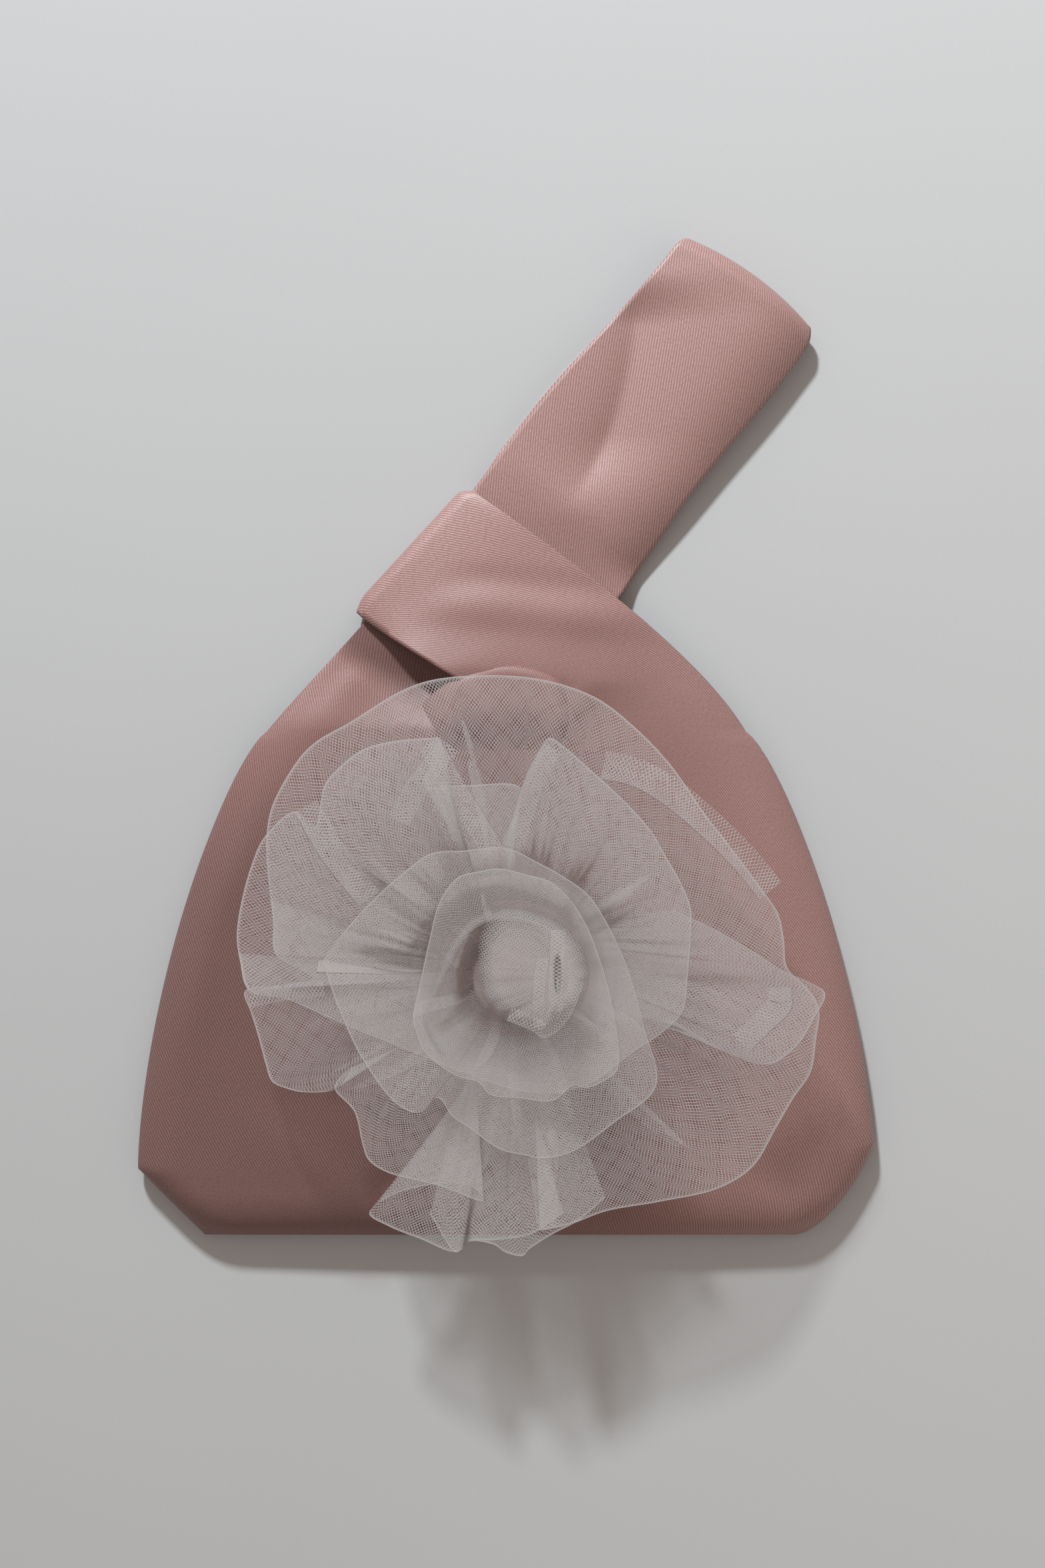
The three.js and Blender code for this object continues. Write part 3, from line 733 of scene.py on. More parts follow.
def ruffle(name, rim, root_radius, columns, seed, turn, pleats, lean=1.8, crease=1.0, span=None,
           tucks=()):
    """A folded strip from its root to its rim and back: straight in plan, and in height one less a
    power of what is left of the way, with broad swells and with gathers that grow to the root. The
    net keeps its size between two gathers and is drawn in at each, so its flat place jumps there.
    A strip closes to a ring unless it has a span, the two bearings between which its root lies."""
    rng = np.random.default_rng(seed)
    closed = span is None
    rim, run = smooth_line(rim, columns, closed)
    if closed:
        lap = columns // 40
        rim = np.vstack([rim, rim[1 : lap + 1] - (0, 0, 0.9)])
        run = np.concatenate([run, run[-1] + run[1 : lap + 1]])
        bearing = np.unwrap(np.arctan2(*(rim[:, :2] - FLOWER).T[::-1]))
        whole = bearing[0] - np.arange(len(run)) * 2 * math.pi / (columns - 1)
        eased = soften((bearing - whole)[: columns - 1], columns // 22, True)
        around = whole + np.concatenate([eased, eased[: lap + 1]])
    else:
        around = np.radians(np.linspace(*span, columns))
    root = lifted(FLOWER + root_radius * stack(np.cos(around), np.sin(around)), SEAT)
    out = unit(rim[:, :2] - root[:, :2])
    tall = np.linalg.norm(rim - root, axis=1)
    swells = creases(run, [(47, 0.6), (29, 0.4)], rng)
    gathers = creases(run, [(12, 0.4), (7.5, 0.35), (4.6, 0.25)], rng)
    gathers = gathers * (0.4 + 0.6 * ease(creases(run, [(90, 1.0)], rng), -0.6, 0.8))

    def layer(v, drop):
        v = v[:, None]
        x = mix(root[:, 0], rim[:, 0], v)
        y = mix(root[:, 1], rim[:, 1], v)
        z = mix(root[:, 2], rim[:, 2], 1 - (1 - v) ** lean) - drop * mix(0.4, 1, ease(v, 0, 0.5))
        swell = SWELL * crease * np.sin(np.pi * v) ** 1.2 * swells
        tight = GATHER * crease * np.sin(np.pi * v**0.55) * (1 - v) ** 0.8 * gathers
        side = stack(-out[:, 1], out[:, 0], 0)[None]
        points = stack(x, y, z + swell + tight) + 0.5 * np.roll(tight, 2, axis=1)[..., None] * side
        points[..., :2] -= NET_FOLD * out * (v**2)[..., None]
        return points

    rows = np.append(np.linspace(0, 0.985, 22), [0.995, 1])
    arc = np.linspace(math.pi / 2, -math.pi / 2, 5)[1:-1]
    bend = rim[None, :, :] + 0 * arc[:, None, None]
    bend[..., :2] += NET_FOLD * (np.cos(arc)[:, None, None] - 1) * out
    bend[..., 2] -= NET_FOLD * (1 - np.sin(arc))[:, None]
    points = np.vstack([layer(rows, 0), bend, layer(rows[::-1], 2 * NET_FOLD)])
    v = np.concatenate([rows, 1 + 0 * arc, rows[::-1]])
    down = np.concatenate([rows, 1 + 0.01 * np.arange(1, 4), 2.04 - rows[::-1]])
    across = down[:, None] * tall.mean()
    steps = np.linalg.norm(np.diff(points, axis=1), axis=-1)
    steps = np.hstack([steps, steps[:, -1:]])
    drawn_in = (steps.mean(axis=1) / steps[len(rows)].mean())[:, None] ** 0.8
    cuts = np.concatenate([[-1], np.cumsum(rng.uniform(16, 34, 60))])
    part = np.searchsorted(cuts, run) - 1
    centre = (cuts[part] + cuts[part + 1]) / 2
    along = centre + (run - centre) * np.minimum(drawn_in, 1) + 0 * across
    angle = math.radians(turn) + 0 * across
    flat = stack(along * np.cos(angle) - across * np.sin(angle),
                 along * np.sin(angle) + across * np.cos(angle))
    gather = np.clip(1 - steps / np.median(steps[len(rows)]), 0, 1)
    streaks = np.clip(gathers, 0, 1) ** 1.5 * (1 - ease(v[:, None], 0.55, 1))
    gather = 0.6 * gather + crease * streaks
    patch = {"points": points, "flat": flat, "gather": gather,
             "rim": ease(v, 0.993, 0.998)[:, None] + 0 * along}
    fold = {"top": layer(rows, 0), "flat": flat[: len(rows)], "rows": rows}
    starts = rng.uniform(0.02, 0.94, pleats) * (columns - 1)
    patches = [patch] + [pleat_patch(fold, start, rng) for start in starts]
    patches += [tuck_patch(line, side, width) for line, side, width in tucks]
    strips[name] = (float(run[-1]), float(2 * tall.mean()))
    make_piece(name, patches, marks=("gather", "rim"))


# %% The four tiers and the two stray pleats
OUTER_RIM = [
    (-80, 102, 30), (-81, 114, 30), (-83, 134, 31), (-83, 144, 32), (-81, 154, 32), (-72, 170, 31),
    (-66, 176, 31), (-54, 183, 30), (-38, 193, 29), (-28, 197, 29), (-14, 199, 29), (2, 199, 29),
    (16, 197, 29), (32, 191, 30), (47, 179, 31), (58, 167, 32), (69, 151, 33), (79, 138, 34),
    (87, 127, 35), (94, 117, 35), (96, 108, 36), (97, 98, 38), (104, 91, 37), (108, 84, 37),
    (107, 73, 37), (105, 62, 38), (99, 53, 38), (93, 43, 39), (85, 30, 40), (73, 23, 43),
    (53, 19, 46), (34, 16, 48), (22, 12, 50), (11, 10, 50), (20, 15, 44), (9, 7, 41),
    (-4, 5, 42), (-12, 5, 43), (-17, 2, 47), (-29, 6, 45), (-40, 10, 43), (-47, 14, 40),
    (-36, 21, 38), (-13, 24, 42), (-7, 19, 47), (-22, 24, 46), (-41, 29, 45), (-47, 33, 44),
    (-49, 38, 43), (-52, 49, 41), (-59, 57, 38), (-53, 64, 36), (-58, 57, 43), (-69, 56, 44),
    (-75, 57, 42), (-81, 59, 36), (-83, 64, 34), (-86, 75, 34), (-88, 82, 35), (-90, 90, 37),
    (-76, 92, 35), (-67, 94, 31),
]
SECOND_RIM = [
    (-89, 90, 34), (-92, 100, 34), (-93, 109, 35), (-91, 122, 36), (-87, 135, 38), (-83, 143, 40),
    (-72, 152, 43), (-66, 146, 40), (-62, 161, 43), (-58, 166, 44), (-49, 173, 45), (-38, 176, 47),
    (-25, 177, 49), (-22, 177, 50), (-25, 169, 45), (-28, 161, 41), (-13, 161, 40), (5, 160, 41),
    (-1, 142, 38), (2, 150, 44), (8, 166, 48), (13, 175, 50), (15, 177, 50), (20, 174, 50),
    (28, 167, 49), (39, 157, 49), (49, 146, 49), (55, 136, 49), (60, 127, 49), (63, 119, 49),
    (63, 110, 49), (62, 97, 49), (60, 84, 50), (53, 77, 51), (44, 71, 52), (27, 59, 50),
    (9, 56, 46), (-13, 62, 43), (-36, 71, 41), (-59, 80, 38), (-76, 87, 35),
]
THIRD_RIM = [
    (-63, 102, 50), (-64, 97, 50), (-61, 103, 50), (-55, 111, 53), (-46, 121, 54), (-35, 131, 56),
    (-25, 138, 57), (-14, 139, 58), (0, 140, 58), (11, 135, 58), (20, 130, 58), (28, 124, 58),
    (34, 115, 57), (41, 100, 54), (47, 79, 52), (51, 59, 52), (37, 47, 53), (22, 37, 55),
    (12, 35, 55), (7, 36, 55), (-2, 38, 54), (-12, 45, 54), (-18, 49, 53), (-23, 55, 51),
    (-29, 50, 51), (-36, 52, 50), (-48, 67, 50), (-57, 86, 50),
]
INNER_RIM = [
    (-31, 83, 60), (-29, 93, 58), (-26, 107, 57), (-22, 122, 57), (-16, 130, 58), (-9, 132, 58),
    (-2, 133, 58), (7, 131, 58), (16, 128, 58), (25, 118, 57), (32, 102, 56), (37, 82, 54),
    (38, 65, 53), (33, 61, 55), (27, 59, 57), (23, 60, 58), (16, 55, 59), (5, 56, 60),
    (-5, 57, 59), (-9, 61, 58), (-16, 63, 58), (-27, 71, 58), (-30, 78, 59),
]
PLEAT_RIM = [
    (58, 118, 36), (78, 108, 40), (96, 97, 44), (103, 94, 45), (109, 90, 46), (105, 81, 46),
    (101, 74, 46), (96, 69, 46), (91, 66, 46), (84, 66, 45), (75, 70, 43), (58, 80, 41),
]
FAN_RIM = [
    (34, 20, 44), (25, 13, 48), (16, 8, 47), (8, 3, 48), (6, 1, 49), (0, 2, 48), (-4, 4, 45),
    (-12, 5, 44), (-15, 3, 48), (-17, 2, 48), (-26, 14, 42),
]
OUTER_TUCKS = [
    ([(32.7, 162.9, 36), (42.5, 160.8, 37), (52.3, 155.6, 38), (65.3, 145.0, 39),
      (78.5, 132.0, 39.5), (86.9, 121.5, 40)], 1, 10),
    ([(10.5, 10.4, 51), (9.4, 20.2, 49), (7.3, 33.7, 46)], -1, 8),
    ([(-89.4, 90.0, 38), (-75.3, 92.9, 38.5), (-62.9, 94.3, 38.5)], -1, 6),
]
SECOND_TUCKS = [
    ([(-72.2, 151.5, 45), (-63.0, 135.6, 43), (-50.5, 119.2, 40)], 1, 9),
    ([(-22.4, 177.1, 51), (-12.8, 160.2, 47.5), (-6.3, 149.5, 44.5), (-0.6, 140.1, 42)], -1, 8),
    ([(-22.4, 177.1, 51), (-34.2, 161.5, 46.5), (-40.2, 150.8, 43.5)], 1, 8),
    ([(12.8, 175.3, 51), (7.6, 166.0, 48.5), (2.3, 150.4, 44.5), (-0.6, 140.6, 42)], 1, 7),
]
PLEAT_TUCKS = [
    ([(97.4, 92.1, 46.5), (97.4, 84.8, 46), (89.8, 76.6, 45.5), (83.3, 70.0, 45)], -1, 8),
]
ruffle("ruffle_outer", OUTER_RIM, 33, columns=620, seed=3, turn=4, pleats=14, lean=2.1,
       tucks=OUTER_TUCKS)
ruffle("pleat_right", PLEAT_RIM, 30, columns=150, seed=5, turn=11, pleats=4, crease=0.8,
       span=(40, -22), tucks=PLEAT_TUCKS)
ruffle("fan_bottom", FAN_RIM, 30, columns=120, seed=7, turn=-9, pleats=2, crease=0.8,
       span=(-62, -118))
ruffle("ruffle_second", SECOND_RIM, 27, columns=520, seed=11, turn=-6, pleats=13, lean=4.0,
       tucks=SECOND_TUCKS)
ruffle("ruffle_third", THIRD_RIM, 21, columns=420, seed=13, turn=9, pleats=10, lean=4.6, crease=0.8)
ruffle("ruffle_inner", INNER_RIM, 14, columns=300, seed=17, turn=-13, pleats=7, lean=8.0,
       crease=0.6)

# %% [markdown]
# ## The bud
#
# The last strip is rolled up like a rose bud. Its inner turns close over the top like a soft cap
# with a small slit where the roll begins, and its last turn wraps round the cap and stands open on
# the left. The cap is a skirt that rises from the foot and a quarter of an ellipse that closes over
# it.

# %% The rolled bud
CAP_LINE = [
    (-9, 101, 60), (-8, 92, 59), (-4, 85, 58), (2, 81, 58), (10, 77, 59), (14, 77, 60),
    (20, 82, 61), (26, 89, 62), (28, 98, 62), (25, 108, 62), (19, 114, 62), (8, 118.5, 62),
    (-2, 119, 62), (-8, 112, 61),
]
WRAP_RIM = [
    (-24, 66, 57), (-29, 74, 58), (-31, 83, 60), (-28, 91, 61), (-25, 99, 62), (-21, 108, 64),
    (-15, 116, 65.5), (-8, 120, 66.5), (0, 121, 66.5), (9, 120, 66), (19, 115, 65), (25, 108, 63),
]
BUD_TUCKS = [
    ([(14.9, 113.0, 67.2), (14.6, 102.8, 68.6), (14.2, 95.0, 68.6), (14.0, 86.0, 67.6)], 1, 5),
    ([(10.4, 104.0, 68.0), (9.3, 96.1, 68.4), (8.9, 87.9, 67.4), (9.3, 80.6, 65.0)], 1, 4),
    ([(0.4, 82.3, 62.0), (9.7, 78.4, 62.4), (12.1, 76.4, 62.4), (16.4, 77.8, 63.0),
      (21.9, 84.0, 64.6), (26.4, 95.0, 65.2)], 1, 5),
]
SLIT = np.array([17.5, 98.0])
BUD_MIDDLE = np.array([7.0, 97.0])
BUD_TOP, BUD_STRIP = 67.6, (260, 105)
CAP_NETS, INNER_TURNS, WRAP_NETS = (0.0, 1.1), (2.4, 4.0, 5.6), (0.0, 0.9)


def net_patch(points, rows, run, tall, shift=0.0):
    """A patch of net with its flat place, and with marks for its gathers and its rim."""
    across = rows[:, None] * tall + shift
    along = run[None, :] + 0 * across
    return {"points": points, "flat": stack(along, across),
            "gather": 0.5 * (1 - np.clip(rows, 0, 1))[:, None] + 0 * along, "rim": 0 * along}


def cap_patches(inset, rng):
    """The closed roll: a skirt out to its widest line, an elliptic cap, and a throat in the slit.
    The cap's net lies as if it was spread flat on it."""
    line, run = smooth_line(CAP_LINE, 260, True)
    around = np.arctan2(line[:, 1] - SLIT[1], line[:, 0] - SLIT[0])
    slit = SLIT + stack(1.3 * np.cos(around), 6.5 * np.sin(around))
    line[:, :2] += inset * (BUD_MIDDLE - line[:, :2]) / 20
    s = np.linspace(0, 1, 14)[:, None, None]
    foot = BUD_MIDDLE + 0.78 * (line[:, :2] - BUD_MIDDLE)
    skirt = mix(foot, line[:, :2], s**0.6)
    skirt_z = mix(SEAT, line[:, 2], s[..., 0])
    t = np.linspace(0, math.pi / 2, 22)[:, None, None]
    cap = mix(line[:, :2], slit, 1 - np.cos(t))
    streaks = creases(run, [(23, 0.5), (12, 0.3), (7, 0.2)], rng)
    cap_z = mix(line[:, 2], BUD_TOP - inset, np.sin(t[..., 0]))
    cap_z = cap_z + 0.8 * np.sin(2 * t[..., 0]) * streaks
    d = np.linspace(0, 1, 8)[1:, None, None]
    throat = mix(slit, SLIT, 0.7 * d**2)
    throat_z = BUD_TOP - inset - 9 * d[..., 0] + 0 * run
    plan = np.vstack([cap, throat])
    z = np.vstack([cap_z, throat_z])
    top = net_patch(lifted(plan, z), np.linspace(1, 1.4, len(z)), run, 46)
    turned = np.array([[1, -0.2 - 0.4 * inset], [0.2 + 0.4 * inset, 1]])
    top["flat"] = plan @ turned.T
    return [net_patch(lifted(skirt, skirt_z), s[:, 0, 0], run, 46), top]


def wrap_patch(inset, rng):
    """The last turn: it rises from the foot to its rim, which curls in a little towards the cap."""
    rim, run = smooth_line(WRAP_RIM, 200, False)
    out = unit(rim[:, :2] - BUD_MIDDLE)
    foot = BUD_MIDDLE + 13 * out
    v = np.linspace(0, 1, 28)[:, None, None]
    plan = mix(foot, rim[:, :2], v**0.5) - out * (inset + 4.5 * ease(v, 0.7, 1.0) ** 2)
    z = mix(SEAT, rim[:, 2], np.minimum(v[..., 0] / 0.93, 1) ** 0.9)
    z = z + 0.5 * np.sin(np.pi * v[..., 0]) * creases(run, [(31, 0.6), (17, 0.4)], rng)
    return net_patch(lifted(plan, z), v[:, 0, 0], run, 48, 5 * inset)


def rolled_bud(name):
    """Two nets of the cap and two of the wrap, one just inside the other, the inner turns under
    the cap, and the folds on it."""
    rng = np.random.default_rng(19)
    patches = [p for i in CAP_NETS for p in cap_patches(i, rng)]
    patches += [cap_patches(i, rng)[1] for i in INNER_TURNS]
    patches += [wrap_patch(i, rng) for i in WRAP_NETS]
    patches += [tuck_patch(line, side, width) for line, side, width in BUD_TUCKS]
    strips[name] = BUD_STRIP
    make_piece(name, patches, marks=("gather", "rim"))


rolled_bud("rolled_bud")

# %% [markdown]
# ## The felt behind the flower
#
# The strips are sewn to a round of felt, which is sewn to the front panel and follows its crown.

# %% The felt round
def felt_round(name, radius=36.0, cloth=1.2):
    """A disc in rings and rays, lifted onto the front panel, with a softly rounded edge."""
    ring = np.linspace(0, 1, 16)[:, None]
    ray = np.linspace(0, 2 * math.pi, 73)[None, :]
    x = FLOWER[0] + radius * ring * np.cos(ray)
    y = FLOWER[1] + radius * ring * np.sin(ray)
    z = body_height(1, x, y, 0) + front_relief(x, y) + GAP + cloth - 0.4 * ring**12
    patch = {"points": stack(x, y, z), "flat": stack(x, y)}
    thicken(make_piece(name, [patch], flip=True), cloth)


felt_round("felt_backing")

# %% [markdown]
# ## Shader helpers
#
# A material is a small network of nodes. These helpers add a node, set its values and join it, so
# that each material below reads as a list of what it is made of.

# %% Adding and joining nodes
def srgb(*rgb):
    """A colour as written in a paint program, from 0 to 255, as the linear light it stands for."""
    c = np.array(rgb, float) / 255
    return (*np.where(c < 0.04045, c / 12.92, ((c + 0.055) / 1.055) ** 2.4), 1.0)


def join(tree, node, values):
    """Sets inputs of a node to values, or joins them to other nodes' results."""
    for key, value in values.items():
        if isinstance(value, bpy.types.NodeSocket):
            tree.links.new(value, node.inputs[key])
        else:
            node.inputs[key].default_value = value


def add(tree, kind, values=None, **options):
    """Adds a node. options are its own settings, values go into its inputs."""
    node = tree.nodes.new(kind)
    for key, value in options.items():
        setattr(node, key, value)
    join(tree, node, values or {})
    return node


def calc(tree, operation, *terms):
    """One step of arithmetic on numbers or on other nodes' results."""
    return add(tree, "ShaderNodeMath", dict(enumerate(terms)), operation=operation).outputs[0]


def noise(tree, place, scale, detail):
    """A cloudy noise with a mean of a half."""
    values = {"Vector": place, "Scale": scale, "Detail": detail}
    return add(tree, "ShaderNodeTexNoise", values).outputs[0]


def ranged(tree, value, low, high, to_low=0.0, to_high=1.0):
    """A value moved from one range to another and held at its ends."""
    values = {"Value": value, "From Min": low, "From Max": high}
    values.update({"To Min": to_low, "To Max": to_high})
    return add(tree, "ShaderNodeMapRange", values).outputs[0]


def bump(tree, height, millimetres):
    """The surface's direction, tilted by a height."""
    values = {"Height": height, "Distance": millimetres * MM, "Strength": 1.0}
    return add(tree, "ShaderNodeBump", values).outputs[0]


def on_piece(tree):
    """Where a point lies in the piece, in metres."""
    return add(tree, "ShaderNodeTexCoord").outputs["Object"]


def on_cloth(tree):
    """Where a point lies on the flat cloth."""
    return add(tree, "ShaderNodeUVMap", uv_map="cloth").outputs[0]


def mark_of(tree, mark):
    """A number that each point of the piece carries."""
    return add(tree, "ShaderNodeAttribute", attribute_name=mark).outputs["Fac"]


def new_group(name, inputs, outputs):
    """An empty node group with named sockets, its ends, and the inputs by name."""
    tree = bpy.data.node_groups.new(name, "ShaderNodeTree")
    for label, kind, value in inputs:
        socket = tree.interface.new_socket(label, in_out="INPUT", socket_type=kind)
        if value is not None:
            socket.default_value = value
    for label, kind in outputs:
        tree.interface.new_socket(label, in_out="OUTPUT", socket_type=kind)
    start, end = tree.nodes.new("NodeGroupInput"), tree.nodes.new("NodeGroupOutput")
    return tree, start.outputs, end


def use(tree, group, values=None):
    """Places a node group in a material and sets or joins its inputs."""
    return add(tree, "ShaderNodeGroup", values, node_tree=group).outputs


def new_material(name):
    """A material with an empty Principled shader, and its node tree."""
    material = bpy.data.materials.new(name)
    material.use_nodes = True
    return material, material.node_tree, material.node_tree.nodes["Principled BSDF"]


# %% [markdown]
# ## The weave of duchess satin
#
# A heavy satin with a steep twill has fine ribs about a millimetre apart. They run slanting over
# the flat cloth. Each rib is a row of floating threads, a little uneven and broken where the thread
# dives under. The group gives one value, which is both the height of a rib and the mask of its top.

# %% The twill group
FLOAT, VECTOR = "NodeSocketFloat", "NodeSocketVector"


def twill_group():
    """A cosine across the ribs, broken along them by a noise that changes with each float of the
    thread."""
    t, given, end = new_group(
        "satin_twill",
        [("Cloth", VECTOR, None), ("Rib pitch mm", FLOAT, 0.90), ("Lean", FLOAT, 0.53),
         ("Bead mm", FLOAT, 1.1)],
        [("Rib", FLOAT)],
    )
    parts = add(t, "ShaderNodeSeparateXYZ", {0: given["Cloth"]}).outputs
    s, up = (calc(t, "MULTIPLY", parts[k], FLAT_UNIT) for k in (0, 1))
    cos, sin = calc(t, "COSINE", given["Lean"]), calc(t, "SINE", given["Lean"])
    across = calc(t, "ADD", calc(t, "MULTIPLY", s, cos), calc(t, "MULTIPLY", up, sin))
    along = calc(t, "SUBTRACT", calc(t, "MULTIPLY", up, cos), calc(t, "MULTIPLY", s, sin))
    uneven = noise(t, given["Cloth"], 26.0, 2.0)
    wander = calc(t, "MULTIPLY", calc(t, "SUBTRACT", uneven, 0.5), 0.5)
    phase = calc(t, "ADD", calc(t, "DIVIDE", across, given["Rib pitch mm"]), wander)
    rib = calc(t, "COSINE", calc(t, "MULTIPLY", phase, 2 * math.pi))
    rib = calc(t, "MULTIPLY_ADD", rib, 0.5, 0.5)
    bead = calc(t, "DIVIDE", along, given["Bead mm"])
    cell = add(t, "ShaderNodeCombineXYZ", {0: phase, 1: bead}).outputs[0]
    broken = calc(t, "MULTIPLY_ADD", noise(t, cell, 1.0, 1.0), 1.7, 0.1)
    join(t, end, {"Rib": calc(t, "MULTIPLY", rib, broken)})
    return t


def mottle_group():
    """A slow drift and a fine grain of brightness over a piece, as a factor around one."""
    t, given, end = new_group(
        "mottle",
        [("Place", VECTOR, None), ("Patches", FLOAT, 14.0), ("Grain", FLOAT, 900.0),
         ("Amount", FLOAT, 0.1)],
        [("Factor", FLOAT)],
    )
    slow = calc(t, "SUBTRACT", noise(t, given["Place"], given["Patches"], 3.0), 0.5)
    fine = calc(t, "SUBTRACT", noise(t, given["Place"], given["Grain"], 1.0), 0.5)
    both = calc(t, "ADD", slow, calc(t, "MULTIPLY", fine, 0.6))
    join(t, end, {"Factor": calc(t, "MULTIPLY_ADD", both, given["Amount"], 1.0)})
    return t


twill, mottle = twill_group(), mottle_group()


def mottled(tree, patches, grain, amount):
    """How much lighter or darker a piece is here, with so many patches and grains to the metre."""
    values = {"Place": on_piece(tree), "Patches": patches, "Grain": grain, "Amount": amount}
    return use(tree, mottle, values)["Factor"]


def tinted(tree, low, high, mask, factor):
    """A colour between two by a mask, made lighter or darker by a factor."""
    two = add(tree, "ShaderNodeMix", {"Factor": mask, 6: low, 7: high}, data_type="RGBA")
    values = {0: two.outputs[2], "Scale": factor}
    return add(tree, "ShaderNodeVectorMath", values, operation="SCALE").outputs[0]


def satin_material(name, groove, top, relief):
    """Satin: darker grooves and paler ribs, whose height is a bump; their two colours are partly
    painted shade in the grooves and painted glints on the ribs. The mark of painted sheen and shade
    scales the colour and sets how much white gloss the cloth has, as a rough coat."""
    material, t, shader = new_material(name)
    # The painted sheen and shade mark scales the colour and sets the coat's white gloss.
    painted_sheen_shade = mark_of(t, "painted_sheen_and_shade")
    rib = use(t, twill, {"Cloth": on_cloth(t)})["Rib"]
    light = calc(t, "MULTIPLY", painted_sheen_shade, mottled(t, 16.0, 1500.0, 0.14))
    gloss = calc(t, "MULTIPLY", ranged(t, painted_sheen_shade, 0.80, 1.10), calc(t, "ADD", rib, 0.4))
    join(t, shader, {
        "Base Color": tinted(t, groove, top, rib, light), "Normal": bump(t, rib, relief),
        "Roughness": 0.45, "Specular IOR Level": 0.3,
        "Coat Weight": gloss, "Coat Roughness": 0.62, "Coat IOR": 1.8,
    })
    return material


# The groove and rib colours of the satin and its lining are partly painted shade in the grooves and
# painted glints on the rib tops.
satin_cloth = satin_material("dusty_rose_satin", srgb(141, 102, 97), srgb(174, 134, 128), 0.04)
lining_cloth = satin_material("satin_lining", srgb(120, 84, 79), srgb(146, 110, 104), 0.05)

# %% [markdown]
# ## Tulle
#
# Tulle is a net of fine threads with open diamonds. The mesh piece carries only the sheet, and the
# threads are a mask in the Alpha input: two sets of lines that cross. Where the strip is gathered
# the threads crowd together, so the mask grows thicker with the gather mark, and the fold at the
# rim is more solid.

# %% The net group and its material
def net_group():
    """A thread is where a saw-tooth across it is near its middle. The mask is the nearer of two."""
    t, given, end = new_group(
        "net_threads",
        [("Cloth", VECTOR, None), ("Pitch mm", FLOAT, 0.92), ("Thread", FLOAT, 0.112),
         ("Gather", FLOAT, 0.0)],
        [("Mask", FLOAT)],
    )
    uneven = noise(t, given["Cloth"], 9.0, 2.0)
    shift = calc(t, "MULTIPLY", calc(t, "SUBTRACT", uneven, 0.5), 0.6)
    parts = add(t, "ShaderNodeSeparateXYZ", {0: given["Cloth"]}).outputs
    lines = []
    for way in (1, -1):
        slant = calc(t, "ADD", calc(t, "MULTIPLY", parts[0], 0.74 * FLAT_UNIT),
                     calc(t, "MULTIPLY", parts[1], way * 0.67 * FLAT_UNIT))
        step = calc(t, "ADD", calc(t, "DIVIDE", slant, given["Pitch mm"]), shift)
        lines.append(calc(t, "ABSOLUTE", calc(t, "SUBTRACT", calc(t, "FRACT", step), 0.5)))
    half = calc(t, "MULTIPLY", given["Thread"], 0.5)
    half = calc(t, "MULTIPLY", half, calc(t, "MULTIPLY_ADD", given["Gather"], 0.5, 1.0))
    inner, outer = (calc(t, "MULTIPLY", half, edge) for edge in (0.7, 1.3))
    join(t, end, {"Mask": ranged(t, calc(t, "MINIMUM", *lines), inner, outer, 1.0, 0.0)})
    return t


def upright_group():
    """The surface's direction leaned towards straight up, or straight down on its under side,
    because round threads scatter light from every side of the net."""
    t, given, end = new_group("thread_direction", [("Share", FLOAT, 0.6)], [("Normal", VECTOR)])
    facing = add(t, "ShaderNodeNewGeometry").outputs["Normal"]
    up = calc(t, "SIGN", add(t, "ShaderNodeSeparateXYZ", {0: facing}).outputs[2])
    pole = add(t, "ShaderNodeCombineXYZ", {2: up}).outputs[0]
    both = add(t, "ShaderNodeMix", {0: given["Share"], 4: facing, 5: pole}, data_type="VECTOR")
    length_one = add(t, "ShaderNodeVectorMath", {0: both.outputs[1]}, operation="NORMALIZE")
    join(t, end, {"Normal": length_one.outputs[0]})
    return t


net, upright = net_group(), upright_group()


def tulle_material(name, colour):
    """Net: the thread mask in Alpha, denser in the gathers and at the fold, and a colour with
    painted shade that darkens in the gathers. Threads scatter light onwards, so a net within 18 mm
    takes 9% of the light away and one past 80 mm takes 92%."""
    material, t, shader = new_material(name)
    gather = mark_of(t, "gather")
    threads = use(t, net, {"Cloth": on_cloth(t), "Gather": gather})["Mask"]
    # Painted shade: the net's colour is darker where the gather mark is high, towards the root.
    painted_gather_shade = calc(t, "MULTIPLY_ADD", gather, -0.3, 1.04)
    light = calc(t, "MULTIPLY", mottled(t, 40.0, 800.0, 0.06), painted_gather_shade)
    cover = calc(t, "MAXIMUM", threads, calc(t, "MULTIPLY", mark_of(t, "rim"), 0.58))
    far = add(t, "ShaderNodeLightPath").outputs["Ray Length"]
    block = ranged(t, far, 0.018, 0.08, 0.09, 0.92)
    join(t, shader, {
        "Base Color": tinted(t, colour, colour, 0.5, light),
        "Alpha": calc(t, "MULTIPLY", cover, block),
        "Normal": use(t, upright, {"Share": 0.88})["Normal"],
        "Roughness": 0.55, "Specular IOR Level": 0.3, "Sheen Weight": 0.15,
    })
    return material


tulle = tulle_material("silver_white_tulle", srgb(183, 177, 175))


def felt_material(name, colour):
    """Felt: matted fibres, so a fine noise moves both its colour and its height."""
    material, t, shader = new_material(name)
    fibres = mottled(t, 120.0, 2600.0, 0.5)
    join(t, shader, {"Base Color": tinted(t, colour, colour, 0.5, fibres),
                     "Normal": bump(t, fibres, 0.4), "Roughness": 0.95})
    return material


felt = felt_material("rose_felt", srgb(150, 126, 122))
